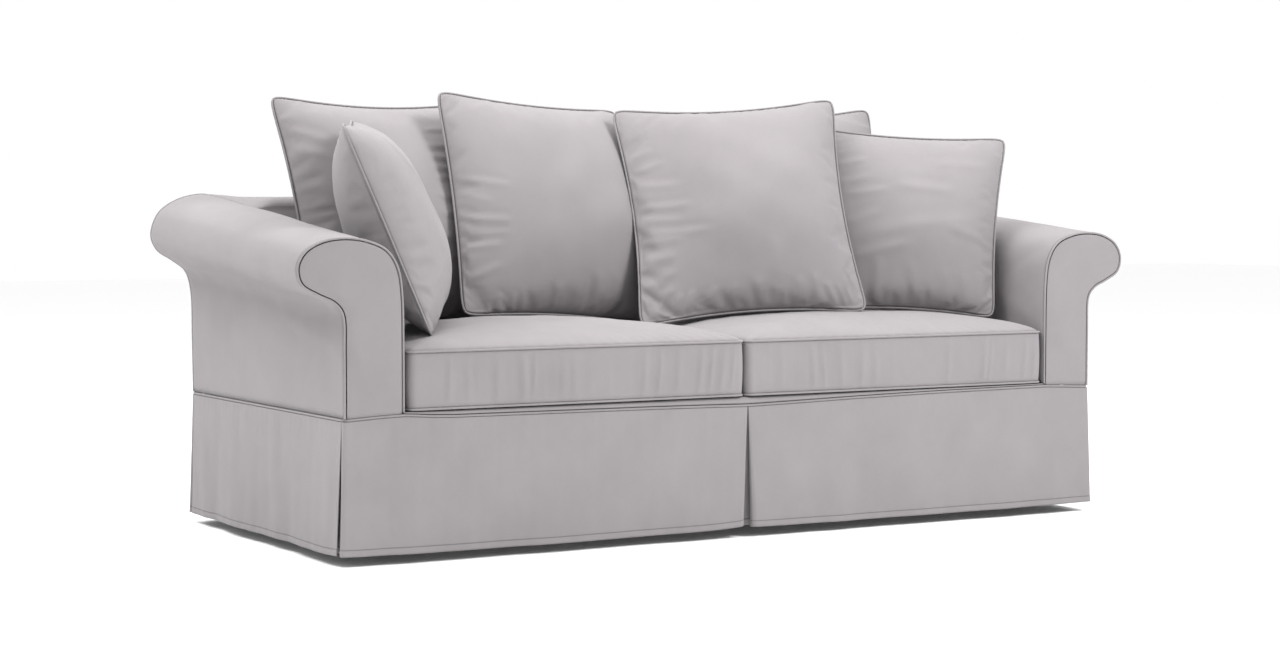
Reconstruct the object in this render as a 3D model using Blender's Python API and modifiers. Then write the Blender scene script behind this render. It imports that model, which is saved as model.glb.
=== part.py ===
"""Sofa slipcover: a body cover with rolled arms and a pleated skirt, and piped cushions.

x runs to the right, y to the back and z up. Every height below is above the floor. The frame object
lowers the whole set, so that the origin lies at the middle of the seat deck's underside.
"""

import math

import bpy
import numpy as np

# Cloth and seams, in metres
CLOTH = 0.002  # thickness of the cover's cloth
GAP = 0.0003  # clearance between two pieces that a seam joins
PIPING = 0.0028  # radius of the piping
PIPING_CLEAR = PIPING + GAP + 0.0001
PIPING_PROUD = 0.0015  # how far the piping stands out of the cloth beside it

# Body cover
DECK_TOP = 0.336
DECK_UNDERSIDE = DECK_TOP - CLOTH
DECK_ROUND = 0.012  # the deck's front edge rolls over at most this deep
DECK_OUT = 0.900  # half the deck's width
FOOT_UP = DECK_TOP + 2 * GAP  # lower edge of the cloth that stands on the deck
HALF_DEPTH = 0.4742  # to the face of the front and the back panel
PIPING_DEPTH = HALF_DEPTH - PIPING_PROUD  # to the middle of the front, back and skirt piping
SHEET_END = PIPING_DEPTH - PIPING_CLEAR  # where the arms' cloth ends at the front and the back
ARM_INSIDE = 0.8985  # from the middle to the inside face of an arm
FRONT_PUFF = 0.005  # crown of an arm's front panel
BACK_PUFF = 0.006
BACK_FOOT_Y = 0.165  # inside face of the back where it meets the deck
BACK_FACE_TOP_Y = 0.300
BACK_FACE_TOP = 0.785  # where the inside face starts to round over
BACK_ROUND = 0.0275
BACK_TOP = BACK_FACE_TOP + BACK_ROUND
BACK_LEVEL_OUT = 0.880  # outside this the back's top blends into the arms
SHOULDER_OUT = (0.955, 1.013)  # where arm and back meet on top: at the inside face, at the rear edge
SHOULDER_GAP = 0.0029

# Section of an arm: distance from the middle and height, at the front and at the back of the cover
ARM_SECTION = (
    # name           front out, up      rear out, up
    ("inside foot", 0.8985, 0.3366, 0.8985, 0.3366),
    ("inside low", 0.8985, 0.4700, 0.8985, 0.4900),
    ("inside neck", 0.9000, 0.5850, 0.9000, 0.6650),
    ("inside curl", 0.9095, 0.6520, 0.9095, 0.7500),
    ("shoulder", 0.9370, 0.6950, 0.9340, 0.7890),
    ("top inside", 0.9850, 0.7165, 0.9680, 0.8120),
    ("crest", 1.0380, 0.7230, 1.0130, 0.8210),
    ("top outside", 1.0900, 0.7160, 1.0750, 0.8090),
    ("brow", 1.1310, 0.6940, 1.1270, 0.7760),
    ("outermost", 1.1500, 0.6585, 1.1485, 0.7230),
    ("under roll", 1.1400, 0.6200, 1.1330, 0.6820),
    ("hook", 1.1010, 0.5970, 1.0930, 0.6555),
    ("neck", 1.0630, 0.5790, 1.0590, 0.6270),
    ("neck low", 1.0430, 0.5480, 1.0450, 0.5700),
    ("outside low", 1.0415, 0.4700, 1.0430, 0.4700),
    ("outside foot", 1.0415, 0.3272, 1.0415, 0.3272),
)
CREST = 6  # the crest's row

# Skirt
SEAM_OUT = 1.0430  # from the middle to the middle of the skirt piping, sideways
SEAM_CORNER = 0.012
SEAM_UP = 0.3240  # height of the seam's middle at the sides and the back
HEM_UP = 0.0238
HEM_CURL_REACH = 0.035
UNDERLAY_SHORT = 0.003  # the underlays end this far above the hem

# Height of the seam along the front: it sags in the middle and the arms' inside edges pull it up
SEAM_FRONT = (
    # x, height
    (-1.031, 0.3240), (-0.965, 0.3278), (-0.930, 0.3292), (-0.8985, 0.3300), (-0.870, 0.3284),
    (-0.830, 0.3254), (-0.780, 0.3234), (-0.660, 0.3225), (-0.450, 0.3212), (-0.270, 0.3201),
    (-0.120, 0.3182), (0.000, 0.3162), (0.120, 0.3186), (0.290, 0.3227), (0.450, 0.3256),
    (0.600, 0.3276), (0.750, 0.3288), (0.840, 0.3296), (0.8985, 0.3300), (0.930, 0.3290),
    (0.965, 0.3276), (1.031, 0.3242),
)

# Plan of a panel's ends, from the free edge inwards: x and depth at the seam, x and depth at the hem
CORNER_END = (
    (1.0440, 0.4640, 1.0500, 0.4680),
    (1.0440, 0.4700, 1.0545, 0.4735),
    (1.0425, 0.4728, 1.0515, 0.4785),
    (1.0380, 0.4742, 1.0430, 0.4802),
)
PLEAT_END = (
    (0.0012, 0.4737, 0.0125, 0.4715),
    (0.0025, 0.4740, 0.0160, 0.4785),
    (0.0050, 0.4742, 0.0245, 0.4808),
)
SIDE_END = (
    (1.0440, 0.4625, 1.0545, 0.4545),
    (1.0440, 0.4400, 1.0550, 0.4320),
)
CORNER_UNDERLAY = (
    (1.0408, 0.3600, 1.0445, 0.3600),
    (1.0408, 0.4640, 1.0445, 0.4640),
    (1.0385, 0.4690, 1.0420, 0.4685),
    (1.0340, 0.4710, 1.0380, 0.4700),
    (0.9300, 0.4710, 0.9300, 0.4700),
)
PLEAT_UNDERLAY = (
    (-0.0900, 0.4710, -0.0900, 0.4670),
    (0.0000, 0.4710, 0.0000, 0.4670),
    (0.0900, 0.4710, 0.0900, 0.4670),
)

# Soft folds of each skirt panel: distance from its left end, width, and depth at the hem
FOLDS = {
    "front_left": (
        (0.12, 0.040, -0.004), (0.19, 0.050, 0.004), (0.39, 0.060, -0.003),
        (0.53, 0.050, 0.003), (0.80, 0.060, -0.002),
    ),
    "front_right": (
        (0.26, 0.050, 0.004), (0.41, 0.040, -0.003), (0.66, 0.045, -0.004),
        (0.76, 0.050, 0.005), (0.93, 0.040, 0.003),
    ),
    "side_left": ((0.16, 0.030, -0.004), (0.30, 0.060, 0.003), (0.62, 0.070, -0.003)),
    "side_right": ((0.22, 0.060, 0.003), (0.47, 0.050, -0.003), (0.70, 0.040, 0.003)),
    "back": ((0.35, 0.070, 0.003), (0.90, 0.080, -0.003), (1.40, 0.070, 0.004), (1.80, 0.050, -0.003)),
}
# Hem of each panel: how far its middle hangs, and how far its left and its right end curl up
HEMS = {
    "front_left": (0.0030, 0.0030, 0.0060),
    "front_right": (0.0015, 0.0010, 0.0010),
    "side_left": (0.0000, 0.0010, 0.0020),
    "side_right": (0.0010, 0.0020, 0.0010),
    "back": (0.0020, 0.0010, 0.0010),
}

# Boxed seat cushions, measured to the middle of their piping
SEAT_X = {"left": (-0.8852, -0.0097), "right": (-0.0013, 0.8900)}
SEAT_Y = (-0.4735, 0.1560)
SEAT_LOW = 0.3412
SEAT_HIGH = 0.4690
SEAT_CORNER = 0.018
SEAT_CROWN = 0.054
SEAT_BULGE = 0.0026  # the boxing swells this far past the piping's middle

# Loose cushions. "pull" draws the middles of their sides in and "taper" widens the top and narrows
# the bottom, both as shares of half the size.
LOOSE = (
    # name                    size  thick   pull  taper       x        y       up   yaw  lean  roll
    ("back_cushion_1", 0.5700, 0.185, 0.075, 0.045, -0.6366, 0.1834, 0.7736, -12.0, 14.5, -0.5),
    ("back_cushion_2", 0.5654, 0.200, 0.050, 0.000, -0.2375, 0.1226, 0.7823, -10.3, 16.2, -3.9),
    ("back_cushion_3", 0.5839, 0.200, 0.080, 0.000, 0.2369, -0.0561, 0.7798, 20.0, 22.2, 3.5),
    ("back_cushion_4", 0.5657, 0.185, 0.080, 0.000, 0.5785, 0.1959, 0.7698, 4.0, 14.5, 2.4),
    ("small_cushion_left", 0.5056, 0.205, 0.060, 0.000, -0.7847, -0.1512, 0.7493, -63.0, 22.4, 3.1),
    ("small_cushion_right", 0.4782, 0.165, 0.060, 0.060, 0.6893, -0.1700, 0.7471, 26.0, 15.0, -3.2),
)
LOOSE_CELLS = 9  # grid cells across a loose cushion
EAR_POWER = 14  # a higher power keeps an ear's rounding nearer its tip
EAR_ROUND = 1 / (2 * EAR_POWER + 1)  # this share makes the tip smooth
FULLNESS = 0.58  # exponent of the crown: a smaller one is fuller at the edges
RIM_HALF = 0.0010

COVER_COLOUR = (0.60, 0.57, 0.57)
CUSHION_COLOUR = (0.62, 0.59, 0.59)
PIPING_COLOUR = (0.54, 0.51, 0.51)


# ---------------------------------------------------------------- scene

def cloth_material(name, colour):
    material = bpy.data.materials.new(name)
    material.use_nodes = True
    shader = material.node_tree.nodes["Principled BSDF"]
    shader.inputs["Base Color"].default_value = (*colour, 1.0)
    shader.inputs["Roughness"].default_value = 0.92
    shader.inputs["Metallic"].default_value = 0.0
    return material


for old in list(bpy.data.objects):
    bpy.data.objects.remove(old, do_unlink=True)
PARTS = bpy.data.collections.new("sofa_slipcover")
bpy.context.scene.collection.children.link(PARTS)
FRAME = bpy.data.objects.new("cover_frame", None)
FRAME.location.z = -DECK_UNDERSIDE
PARTS.objects.link(FRAME)
COVER_CLOTH = cloth_material("cover_cloth", COVER_COLOUR)
CUSHION_CLOTH = cloth_material("cushion_cloth", CUSHION_COLOUR)
PIPING_CLOTH = cloth_material("piping_cloth", PIPING_COLOUR)


def add_object(name, data, material):
    data.materials.append(material)
    obj = bpy.data.objects.new(name, data)
    PARTS.objects.link(obj)
    obj.parent = FRAME
    return obj


def add_mesh(name, points, faces, material):
    mesh = bpy.data.meshes.new(name)
    mesh.from_pydata(np.asarray(points).tolist(), [], [list(map(int, face)) for face in faces])
    mesh.shade_smooth()
    return add_object(name, mesh, material)


# ---------------------------------------------------------------- shape tools

def smoothstep(x):
    x = np.clip(x, 0, 1)
    return x * x * (3 - 2 * x)


def smooth_rows(rows, samples):
    """Catmull-Rom curve through rows, at positions counted in rows, with 0 at the first row."""
    rows = np.asarray(rows, float)
    keys = np.vstack([2 * rows[0] - rows[1], rows, 2 * rows[-1] - rows[-2]])
    start = np.clip(np.floor(samples).astype(int), 0, len(rows) - 2)
    t = (samples - start)[:, None]
    a, b, c, d = (keys[start + k] for k in range(4))
    return 0.5 * (2 * b + (c - a) * t + (2 * a - 5 * b + 4 * c - d) * t**2 + (3 * b - a - 3 * c + d) * t**3)


def grid_faces(rows, columns):
    index = np.arange(rows * columns).reshape(rows, columns)
    corners = (index[:-1, :-1], index[:-1, 1:], index[1:, 1:], index[1:, :-1])
    return np.stack(corners, axis=-1).reshape(-1, 4)


def ring_faces(rings, count):
    """Quads between closed rings of count points each, stacked from the first upwards."""
    index = np.arange(rings * count).reshape(rings, count)
    after = np.roll(index, -1, axis=1)
    return np.stack((index[:-1], after[:-1], after[1:], index[1:]), axis=-1).reshape(-1, 4)


def cloth_sheet(name, points, material):
    """Sheet of cloth on a grid of points (rows, columns, 3) that lie on its outer face.

    Seen from outside, the columns run to the right and the rows run up.
    """
    rows, columns = points.shape[:2]
    obj = add_mesh(name, points.reshape(-1, 3), grid_faces(rows, columns), material)
    wall = obj.modifiers.new("cloth thickness", "SOLIDIFY")
    wall.thickness = CLOTH
    wall.offset = -1.0
    wall.use_even_offset = True
    return obj


def mirrored(points):
    """The same grid on the other side of the middle, still facing outwards."""
    return (points * (-1, 1, 1))[:, ::-1]


def piping(name, path, closed=False):
    """Round piping along a path of points (n, 3)."""
    curve = bpy.data.curves.new(name, "CURVE")
    curve.dimensions = "3D"
    curve.bevel_depth = PIPING
    curve.bevel_resolution = 1
    curve.use_fill_caps = True
    spline = curve.splines.new("POLY")
    spline.points.add(len(path) - 1)
    spline.points.foreach_set("co", np.c_[path, np.ones(len(path))].ravel())
    spline.use_cyclic_u = closed
    return add_object(name, curve, PIPING_CLOTH)


def moved_right(outline, distance, closed=False):
    """A 2D outline moved to its right-hand side."""
    if closed:
        step = np.roll(outline, -1, axis=0) - np.roll(outline, 1, axis=0)
    else:
        step = np.gradient(outline, axis=0)
    step /= np.linalg.norm(step, axis=1, keepdims=True)
    return outline + np.asarray(distance).reshape(-1, 1) * np.c_[step[:, 1], -step[:, 0]]


def rounded_rectangle(half_x, half_y, radius, per_corner, per_x, per_y):
    """Closed counter-clockwise outline: round corners and evenly divided sides."""
    points = []
    for corner, (sign_x, sign_y) in enumerate(((1, -1), (1, 1), (-1, 1), (-1, -1))):
        middle = np.array((sign_x * (half_x - radius), sign_y * (half_y - radius)))
        turn = math.radians(90 * corner - 90)
        for angle in np.linspace(turn, turn + math.pi / 2, per_corner + 1):
            points.append(middle + radius * np.array((math.cos(angle), math.sin(angle))))
        straight = 2 * ((half_y if corner % 2 == 0 else half_x) - radius)
        pieces = per_y if corner % 2 == 0 else per_x
        heading = np.array((-math.sin(turn + math.pi / 2), math.cos(turn + math.pi / 2)))
        start = points[-1]
        for piece in range(1, pieces):
            points.append(start + heading * straight * piece / pieces)
    return np.array(points)


# ---------------------------------------------------------------- body cover

def arm_section(samples, y):
    """(out, up) of an arm's section at positions in ARM_SECTION and a depth."""
    curve = smooth_rows([row[1:] for row in ARM_SECTION], samples)
    share = np.clip((y + HALF_DEPTH) / (2 * HALF_DEPTH), 0, 1)
    out = curve[:, 0] + (curve[:, 2] - curve[:, 0]) * share
    up = curve[:, 1] + (curve[:, 3] - curve[:, 1]) * share
    return out, up


def arm_samples(per_row):
    last = len(ARM_SECTION) - 1
    return np.linspace(0, last, last * per_row + 1)


def back_face_y(up):
    """Depth of the inside back's face at a height."""
    share = np.clip((up - DECK_TOP) / (BACK_FACE_TOP - DECK_TOP), 0, 1)
    return BACK_FOOT_Y + (BACK_FACE_TOP_Y - BACK_FOOT_Y) * share


def shoulder_y(out):
    """Depth of the line on top where an arm ends and the back begins."""
    share = (out - SHOULDER_OUT[0]) / (SHOULDER_OUT[1] - SHOULDER_OUT[0])
    return BACK_FACE_TOP_Y + (HALF_DEPTH - BACK_FACE_TOP_Y) * share


def shoulder_out(y):
    """The same line, as the distance from the middle at a depth."""
    share = (y - BACK_FACE_TOP_Y) / (HALF_DEPTH - BACK_FACE_TOP_Y)
    return SHOULDER_OUT[0] + (SHOULDER_OUT[1] - SHOULDER_OUT[0]) * share


def arm_rear_y(samples):
    """Where an arm's cloth ends at the rear: at the back's face inside, at the piping outside."""
    end = np.full(len(samples), SHEET_END)
    for _ in range(6):
        out, up = arm_section(samples, end)
        inside = np.where(out < SHOULDER_OUT[0], back_face_y(up), shoulder_y(out))
        end = np.where(samples < CREST, np.minimum(inside - SHOULDER_GAP, SHEET_END), SHEET_END)
    return end


def arm(name, side):
    """Inside, roll and outside of an arm as one length of cloth."""
    samples = arm_samples(2)
    rear = arm_rear_y(samples)
    rows = []
    for share in np.linspace(0, 1, 7):
        y = -SHEET_END + (rear + SHEET_END) * share
        out, up = arm_section(samples, y)
        rows.append(np.c_[-out, y, up])
    points = np.array(rows)[:, ::-1]
    return cloth_sheet(name, mirrored(points) if side > 0 else points, COVER_CLOTH)


def seam_up(x, y):
    """Height of the skirt seam's middle."""
    at_front = np.clip((-y - 0.36) / 0.10, 0, 1)
    return SEAM_UP + at_front * (np.interp(x, *np.transpose(SEAM_FRONT)) - SEAM_UP)


def level_rows(outline, low, heights, fractions):
    """(across, up) grid filling an outline that runs from its left foot over the top to its right foot.

    The rows lie level at the given heights, but the lowest follows low(across) and the highest the
    outline itself.
    """
    top = int(np.argmax(outline[:, 1]))
    left, right = outline[: top + 1], outline[top:][::-1]
    rows = []
    for height in heights:
        start = np.interp(height, left[:, 1], left[:, 0])
        end = np.interp(height, right[:, 1], right[:, 0])
        across = start + (end - start) * fractions
        rows.append(np.c_[across, np.full(len(across), height)])
    rows[0][:, 1] = low(rows[0][:, 0])
    arc = outline[outline[:, 1] > heights[-1]]
    across = start + (end - start) * (0.03 + 0.94 * fractions)
    rows.append(np.c_[across, np.interp(across, arc[:, 0], arc[:, 1])])
    return np.array(rows)


PIPING_INSET = PIPING - PIPING_PROUD
PANEL_INSET = PIPING_INSET + PIPING_CLEAR + 0.0013  # room for the piping beside a flat panel


def arm_front_outline(inset):
    out, up = arm_section(arm_samples(2), -HALF_DEPTH)
    return moved_right(np.c_[out, up], inset)


def arm_front(name, side):
    fractions = 0.5 - 0.5 * np.cos(np.linspace(0, math.pi, 7))
    heights = (FOOT_UP, 0.40, 0.47, 0.525, 0.547, 0.562, 0.574, 0.583, 0.594, 0.608, 0.63, 0.67, 0.70)
    flat = level_rows(
        arm_front_outline(PANEL_INSET),
        lambda out: seam_up(side * out, -HALF_DEPTH) + PIPING_CLEAR,
        heights,
        fractions,
    )
    rise = np.sin(np.linspace(0, math.pi, len(flat)))[:, None] ** 0.5
    puff = FRONT_PUFF * rise * (4 * fractions * (1 - fractions)) ** 0.7
    points = np.stack([-flat[..., 0], -HALF_DEPTH - puff, flat[..., 1]], axis=-1)[:, ::-1]
    return cloth_sheet(name, mirrored(points) if side > 0 else points, COVER_CLOTH)


def arm_front_piping(name, side):
    outline = arm_front_outline(PIPING_INSET)
    outline[0, 1] = FOOT_UP + GAP
    path = np.c_[side * outline[:, 0], np.full(len(outline), -PIPING_DEPTH), outline[:, 1]]
    return piping(name, path)


def rear_outline(inset):
    """(x, up) of the whole back, seen from the front, from its left foot to its right foot."""
    samples = arm_samples(2)[2 * CREST :]
    out, up = arm_section(samples, HALF_DEPTH)
    scroll = np.c_[-out, up][::-1]
    top = np.array([(-0.960, 0.8150), (-0.915, BACK_TOP), (-0.600, BACK_TOP), (-0.300, BACK_TOP)])
    left = np.vstack([scroll, top])
    right = (left * (-1, 1))[::-1]
    return moved_right(np.vstack([left, [(0, BACK_TOP)], right]), inset)


def back_outside(name):
    fractions = np.r_[0, 0.012, 0.03, 0.055, 0.08, 0.15, 0.25, 0.375]
    fractions = np.r_[fractions, 0.5, 1 - fractions[::-1]]
    heights = (FOOT_UP, 0.45, 0.55, 0.585, 0.605, 0.620, 0.630, 0.641, 0.655, 0.68, 0.72, 0.76, 0.785, 0.800)
    flat = level_rows(
        rear_outline(PANEL_INSET),
        lambda x: seam_up(x, HALF_DEPTH) + PIPING_CLEAR,
        heights,
        fractions,
    )
    rise = np.sin(np.linspace(0, math.pi, len(flat)))[:, None]
    puff = BACK_PUFF * rise * (4 * fractions * (1 - fractions)) ** 0.7
    points = np.stack([flat[..., 0], HALF_DEPTH + puff, flat[..., 1]], axis=-1)[:, ::-1]
    return cloth_sheet(name, points, COVER_CLOTH)


def back_piping(name):
    outline = rear_outline(PIPING_INSET)
    return piping(name, np.c_[outline[:, 0], np.full(len(outline), PIPING_DEPTH), outline[:, 1]])


def back_inside(name):
    """Inside face of the back, its rounded top edge and its top, which blends into both arms."""
    face_up = np.linspace(FOOT_UP + 2 * GAP, BACK_FACE_TOP, 6)
    turn = np.radians(np.linspace(22.5, 90, 4))
    top_y = np.linspace(BACK_FACE_TOP_Y + BACK_ROUND, SHEET_END - 2 * GAP, 4)[1:]
    profile_y = np.r_[back_face_y(face_up), BACK_FACE_TOP_Y + BACK_ROUND * (1 - np.cos(turn)), top_y]
    profile_up = np.r_[face_up, BACK_FACE_TOP + BACK_ROUND * np.sin(turn), np.full(3, BACK_TOP)]
    half = np.array((0, 0.25, 0.5, 0.75, 0.9, 0.93, 0.955, 0.98, 1))
    fractions = np.r_[-half[::-1], half[1:]]
    samples = np.linspace(0, CREST, 61)
    rows = []
    for number, (y, up) in enumerate(zip(profile_y, profile_up)):
        out, arm_up = arm_section(samples, y)
        if number < len(face_up):
            end = min(np.interp(up, arm_up, out), SHOULDER_OUT[0]) - SHOULDER_GAP
            end_up = up
        else:
            end = shoulder_out(y) - SHOULDER_GAP
            end_up = np.interp(end, out, arm_up)
        x = fractions * end
        blend = smoothstep((np.abs(x) - BACK_LEVEL_OUT) / (end - BACK_LEVEL_OUT))
        rows.append(np.c_[x, np.full(len(x), y), up + (end_up - up) * blend])
    return cloth_sheet(name, np.array(rows), COVER_CLOTH)


def seat_deck(name):
    """Deck under the seat cushions, with its front edge rolled down to the skirt seam."""
    inner = [row[0] for row in SEAM_FRONT if abs(row[0]) < ARM_INSIDE]
    x = np.r_[-DECK_OUT, inner, DECK_OUT]
    low = seam_up(x, -HALF_DEPTH) + PIPING_CLEAR + 0.0010
    roll = np.minimum(DECK_TOP - low, DECK_ROUND)
    rows = []
    for angle in np.radians(np.linspace(0, 90, 5)):
        y = -HALF_DEPTH + roll * (1 - math.cos(angle))
        rows.append(np.c_[x, y, low + (DECK_TOP - low) * math.sin(angle)])
    for y in np.linspace(-HALF_DEPTH + DECK_ROUND, BACK_FOOT_Y + CLOTH, 5)[1:]:
        rows.append(np.c_[x, np.full(len(x), y), np.full(len(x), DECK_TOP)])
    return cloth_sheet(name, np.array(rows), COVER_CLOTH)


# ---------------------------------------------------------------- skirt

def placed(rows, side, face):
    """Rows of a plan table on one side (-1 left, 1 right) and face (-1 front, 1 back) of the cover."""
    return np.array(rows) * (side, face, side, face)


def corner_plan(rows, side, face):
    """A table that runs from a side round a corner, in the order in which it is seen from outside."""
    return placed(rows, side, face)[:: 1 if side * face > 0 else -1]


def joined(first, last, shares):
    """Plan rows of a whole panel: its two ends and columns at the given shares of the way between them."""
    return np.vstack([first, first[-1] + np.outer(shares, last[0] - first[-1]), last])


def hanging_panel(name, path, folds=(), hem=(0, 0, 0), shorter=0.0):
    """Skirt cloth along plan rows (seam x and y, hem x and y) that run to the right, seen from outside."""
    along = np.r_[0, np.cumsum(np.linalg.norm(np.diff(path[:, 2:], axis=0), axis=1))]
    length = along[-1]
    swell = np.zeros(len(path))
    for at, width, depth in folds:
        swell += depth * np.exp(-(((along - at) / width) ** 2))
    hang, curl_left, curl_right = hem
    seam = seam_up(path[:, 0], path[:, 1]) - PIPING_CLEAR
    low = (
        HEM_UP + shorter
        - hang * np.sin(math.pi * along / length)
        + curl_left * np.exp(-along / HEM_CURL_REACH)
        + curl_right * np.exp(-(length - along) / HEM_CURL_REACH)
    )
    rows = []
    for drop in (1, 0.75, 0.5, 0.25, 0):
        flat = moved_right(path[:, :2] + (path[:, 2:] - path[:, :2]) * drop, swell * drop**1.5)
        rows.append(np.c_[flat, seam + (low - seam) * drop])
    return cloth_sheet(name, np.array(rows), COVER_CLOTH)


def front_skirt(side, label):
    corner = corner_plan(CORNER_END, side, -1)
    pleat = placed(PLEAT_END, side, -1)[::side]
    first, last = (corner, pleat) if side < 0 else (pleat, corner)
    start, end = first[-1, 0], last[0, 0]
    shares = [(row[0] - start) / (end - start) for row in SEAM_FRONT if start < row[0] < end]
    hanging_panel("skirt_" + label, joined(first, last, shares), FOLDS[label], HEMS[label])


def side_skirt(side, label):
    ends = (placed(SIDE_END, side, -side), placed(SIDE_END, side, side)[::-1])
    path = joined(*ends, np.linspace(0, 1, 14)[1:-1])
    hanging_panel("skirt_" + label, path, FOLDS[label], HEMS[label])


def back_skirt():
    path = joined(corner_plan(CORNER_END, 1, 1), corner_plan(CORNER_END, -1, 1), np.linspace(0, 1, 18)[1:-1])
    hanging_panel("skirt_back", path, FOLDS["back"], HEMS["back"])


def underlays():
    for side, x_label in ((-1, "left"), (1, "right")):
        for face, y_label in ((-1, "front"), (1, "back")):
            path = corner_plan(CORNER_UNDERLAY, side, face)
            hanging_panel(f"underlay_{y_label}_{x_label}", path, shorter=UNDERLAY_SHORT)
    hanging_panel("underlay_front_middle", placed(PLEAT_UNDERLAY, 1, -1), shorter=UNDERLAY_SHORT)


def skirt_piping():
    ring = rounded_rectangle(SEAM_OUT, PIPING_DEPTH, SEAM_CORNER, 3, 1, 5)
    back_left = int(np.argmin(ring[:, 0] - ring[:, 1]))
    front = [(row[0], -PIPING_DEPTH) for row in SEAM_FRONT[1:-1]]
    back = [(x, PIPING_DEPTH) for x in (0.6, 0.2, -0.2, -0.6)]
    ring = np.vstack([ring[:back_left], back, ring[back_left:], front])
    piping("skirt_piping", np.c_[ring, seam_up(ring[:, 0], ring[:, 1])], closed=True)


# ---------------------------------------------------------------- cushions

def seat_cushion(label):
    """Boxed cushion: crowned top, swelling sides, flat underside, and a ring of piping at both edges."""
    x_low, x_high = SEAT_X[label]
    y_low, y_high = SEAT_Y
    middle = np.array(((x_low + x_high) / 2, (y_low + y_high) / 2))
    half_x, half_y = (x_high - x_low) / 2, (y_high - y_low) / 2

    def outline(inset):
        return middle + rounded_rectangle(half_x - inset, half_y - inset, SEAT_CORNER - inset, 4, 3, 3)

    edge = outline(0.0034)
    rings = [
        ((edge - middle) * share + middle, up)
        for share, up in ((0.45, DECK_TOP + GAP), (0.86, DECK_TOP + GAP), (0.96, 0.3375))
    ]
    rings += [(edge, SEAT_LOW - 0.0015), (edge, SEAT_LOW + 0.0015)]
    for share in (0, 0.3, 0.7, 1):
        swell = SEAT_BULGE * (1 - (2 * share - 1) ** 2)
        rings.append((outline(0.0002 - swell), SEAT_LOW + 0.0045 + (SEAT_HIGH - SEAT_LOW - 0.009) * share))
    rings += [(edge, SEAT_HIGH - 0.0015), (edge, SEAT_HIGH + 0.0015)]
    for share in (0.97, 0.90, 0.78, 0.60, 0.35):
        rise = SEAT_CROWN * (1 - share**2.2) ** 0.62
        rings.append(((edge - middle) * share + middle, SEAT_HIGH + 0.0015 + rise))
    count = len(edge)
    points = np.vstack([np.c_[flat, np.full(count, up)] for flat, up in rings])
    faces = ring_faces(len(rings), count).tolist()
    low_pole, high_pole = len(points), len(points) + 1
    points = np.vstack([points, [*middle, DECK_TOP + GAP], [*middle, SEAT_HIGH + 0.0015 + SEAT_CROWN]])
    last = (len(rings) - 1) * count
    for k in range(count):
        after = (k + 1) % count
        faces.append((after, k, low_pole))
        faces.append((last + k, last + after, high_pole))
    name = "seat_cushion_" + label
    add_mesh(name, points, faces, CUSHION_CLOTH)
    for edge_name, up in (("top", SEAT_HIGH), ("bottom", SEAT_LOW)):
        path = outline(0)
        piping(f"{name}_piping_{edge_name}", np.c_[path, np.full(count, up)], closed=True)


def loose_frame(yaw, lean, roll):
    """Unit vectors of a loose cushion: to its right, up along its face, and out of its front."""
    yaw, lean, roll = (math.radians(angle) for angle in (yaw, lean, roll))
    across = np.array((math.cos(yaw), -math.sin(yaw), 0))
    back = np.array((math.sin(yaw), math.cos(yaw), 0))
    rise = np.array((0, 0, math.cos(lean))) + back * math.sin(lean)
    right = across * math.cos(roll) + rise * math.sin(roll)
    up = rise * math.cos(roll) - across * math.sin(roll)
    return right, up, np.cross(right, up)


def loose_outline(u, v, size, pull, taper):
    """(across, up) of the seam plane at u, v from -1 to 1: drawn-in sides and blunted ears."""
    ear = (1 - EAR_ROUND * np.abs(u * v) ** EAR_POWER) / (1 - EAR_ROUND)
    across = u * (1 - pull * (1 - v**2)) * ear * (1 + taper * v)
    up = v * (1 - pull * (1 - u**2)) * ear
    return np.stack([across, up], axis=-1) * (size / 2 - PIPING - PIPING_CLEAR)


def loose_cushion(name, size, thick, pull, taper, x, y, up, yaw, lean, roll):
    """Knife-edge cushion: two crowned faces meeting in a seam, with piping round it."""
    axes = np.array(loose_frame(yaw, lean, roll))
    middle = np.array((x, y, up))
    count = LOOSE_CELLS + 1
    line = np.sin(np.linspace(-math.pi / 2, math.pi / 2, count))
    u, v = np.meshgrid(line, line)
    flat = loose_outline(u, v, size, pull, taper)
    crown = thick / 2 * ((1 - u**2) * (1 - v**2)) ** FULLNESS + RIM_HALF
    front = np.dstack([flat, crown]).reshape(-1, 3)
    back = np.dstack([flat, -crown]).reshape(-1, 3)
    index = np.arange(count * count).reshape(count, count)
    border = np.r_[index[0], index[1:, -1], index[-1, -2::-1], index[-2:0:-1, 0]]
    faces = grid_faces(count, count)
    rim = np.stack([border, border + count**2, np.roll(border, -1) + count**2, np.roll(border, -1)], axis=-1)
    faces = np.vstack([faces, faces[:, ::-1] + count**2, rim])
    add_mesh(name, middle + np.vstack([front, back]) @ axes, faces, CUSHION_CLOTH)
    seam = moved_right(flat.reshape(-1, 2)[border], PIPING_CLEAR, closed=True)
    piping(name + "_piping", middle + np.c_[seam, np.zeros(len(seam))] @ axes, closed=True)


# ---------------------------------------------------------------- the whole set

seat_deck("seat_deck")
back_inside("back_inside")
back_outside("back_outside")
back_piping("back_piping")
for SIDE, LABEL in ((-1, "left"), (1, "right")):
    arm("arm_" + LABEL, SIDE)
    arm_front("arm_front_" + LABEL, SIDE)
    arm_front_piping("arm_front_piping_" + LABEL, SIDE)
    front_skirt(SIDE, "front_" + LABEL)
    side_skirt(SIDE, "side_" + LABEL)
    seat_cushion(LABEL)
back_skirt()
underlays()
skirt_piping()
for row in LOOSE:
    loose_cushion(*row)
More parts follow.
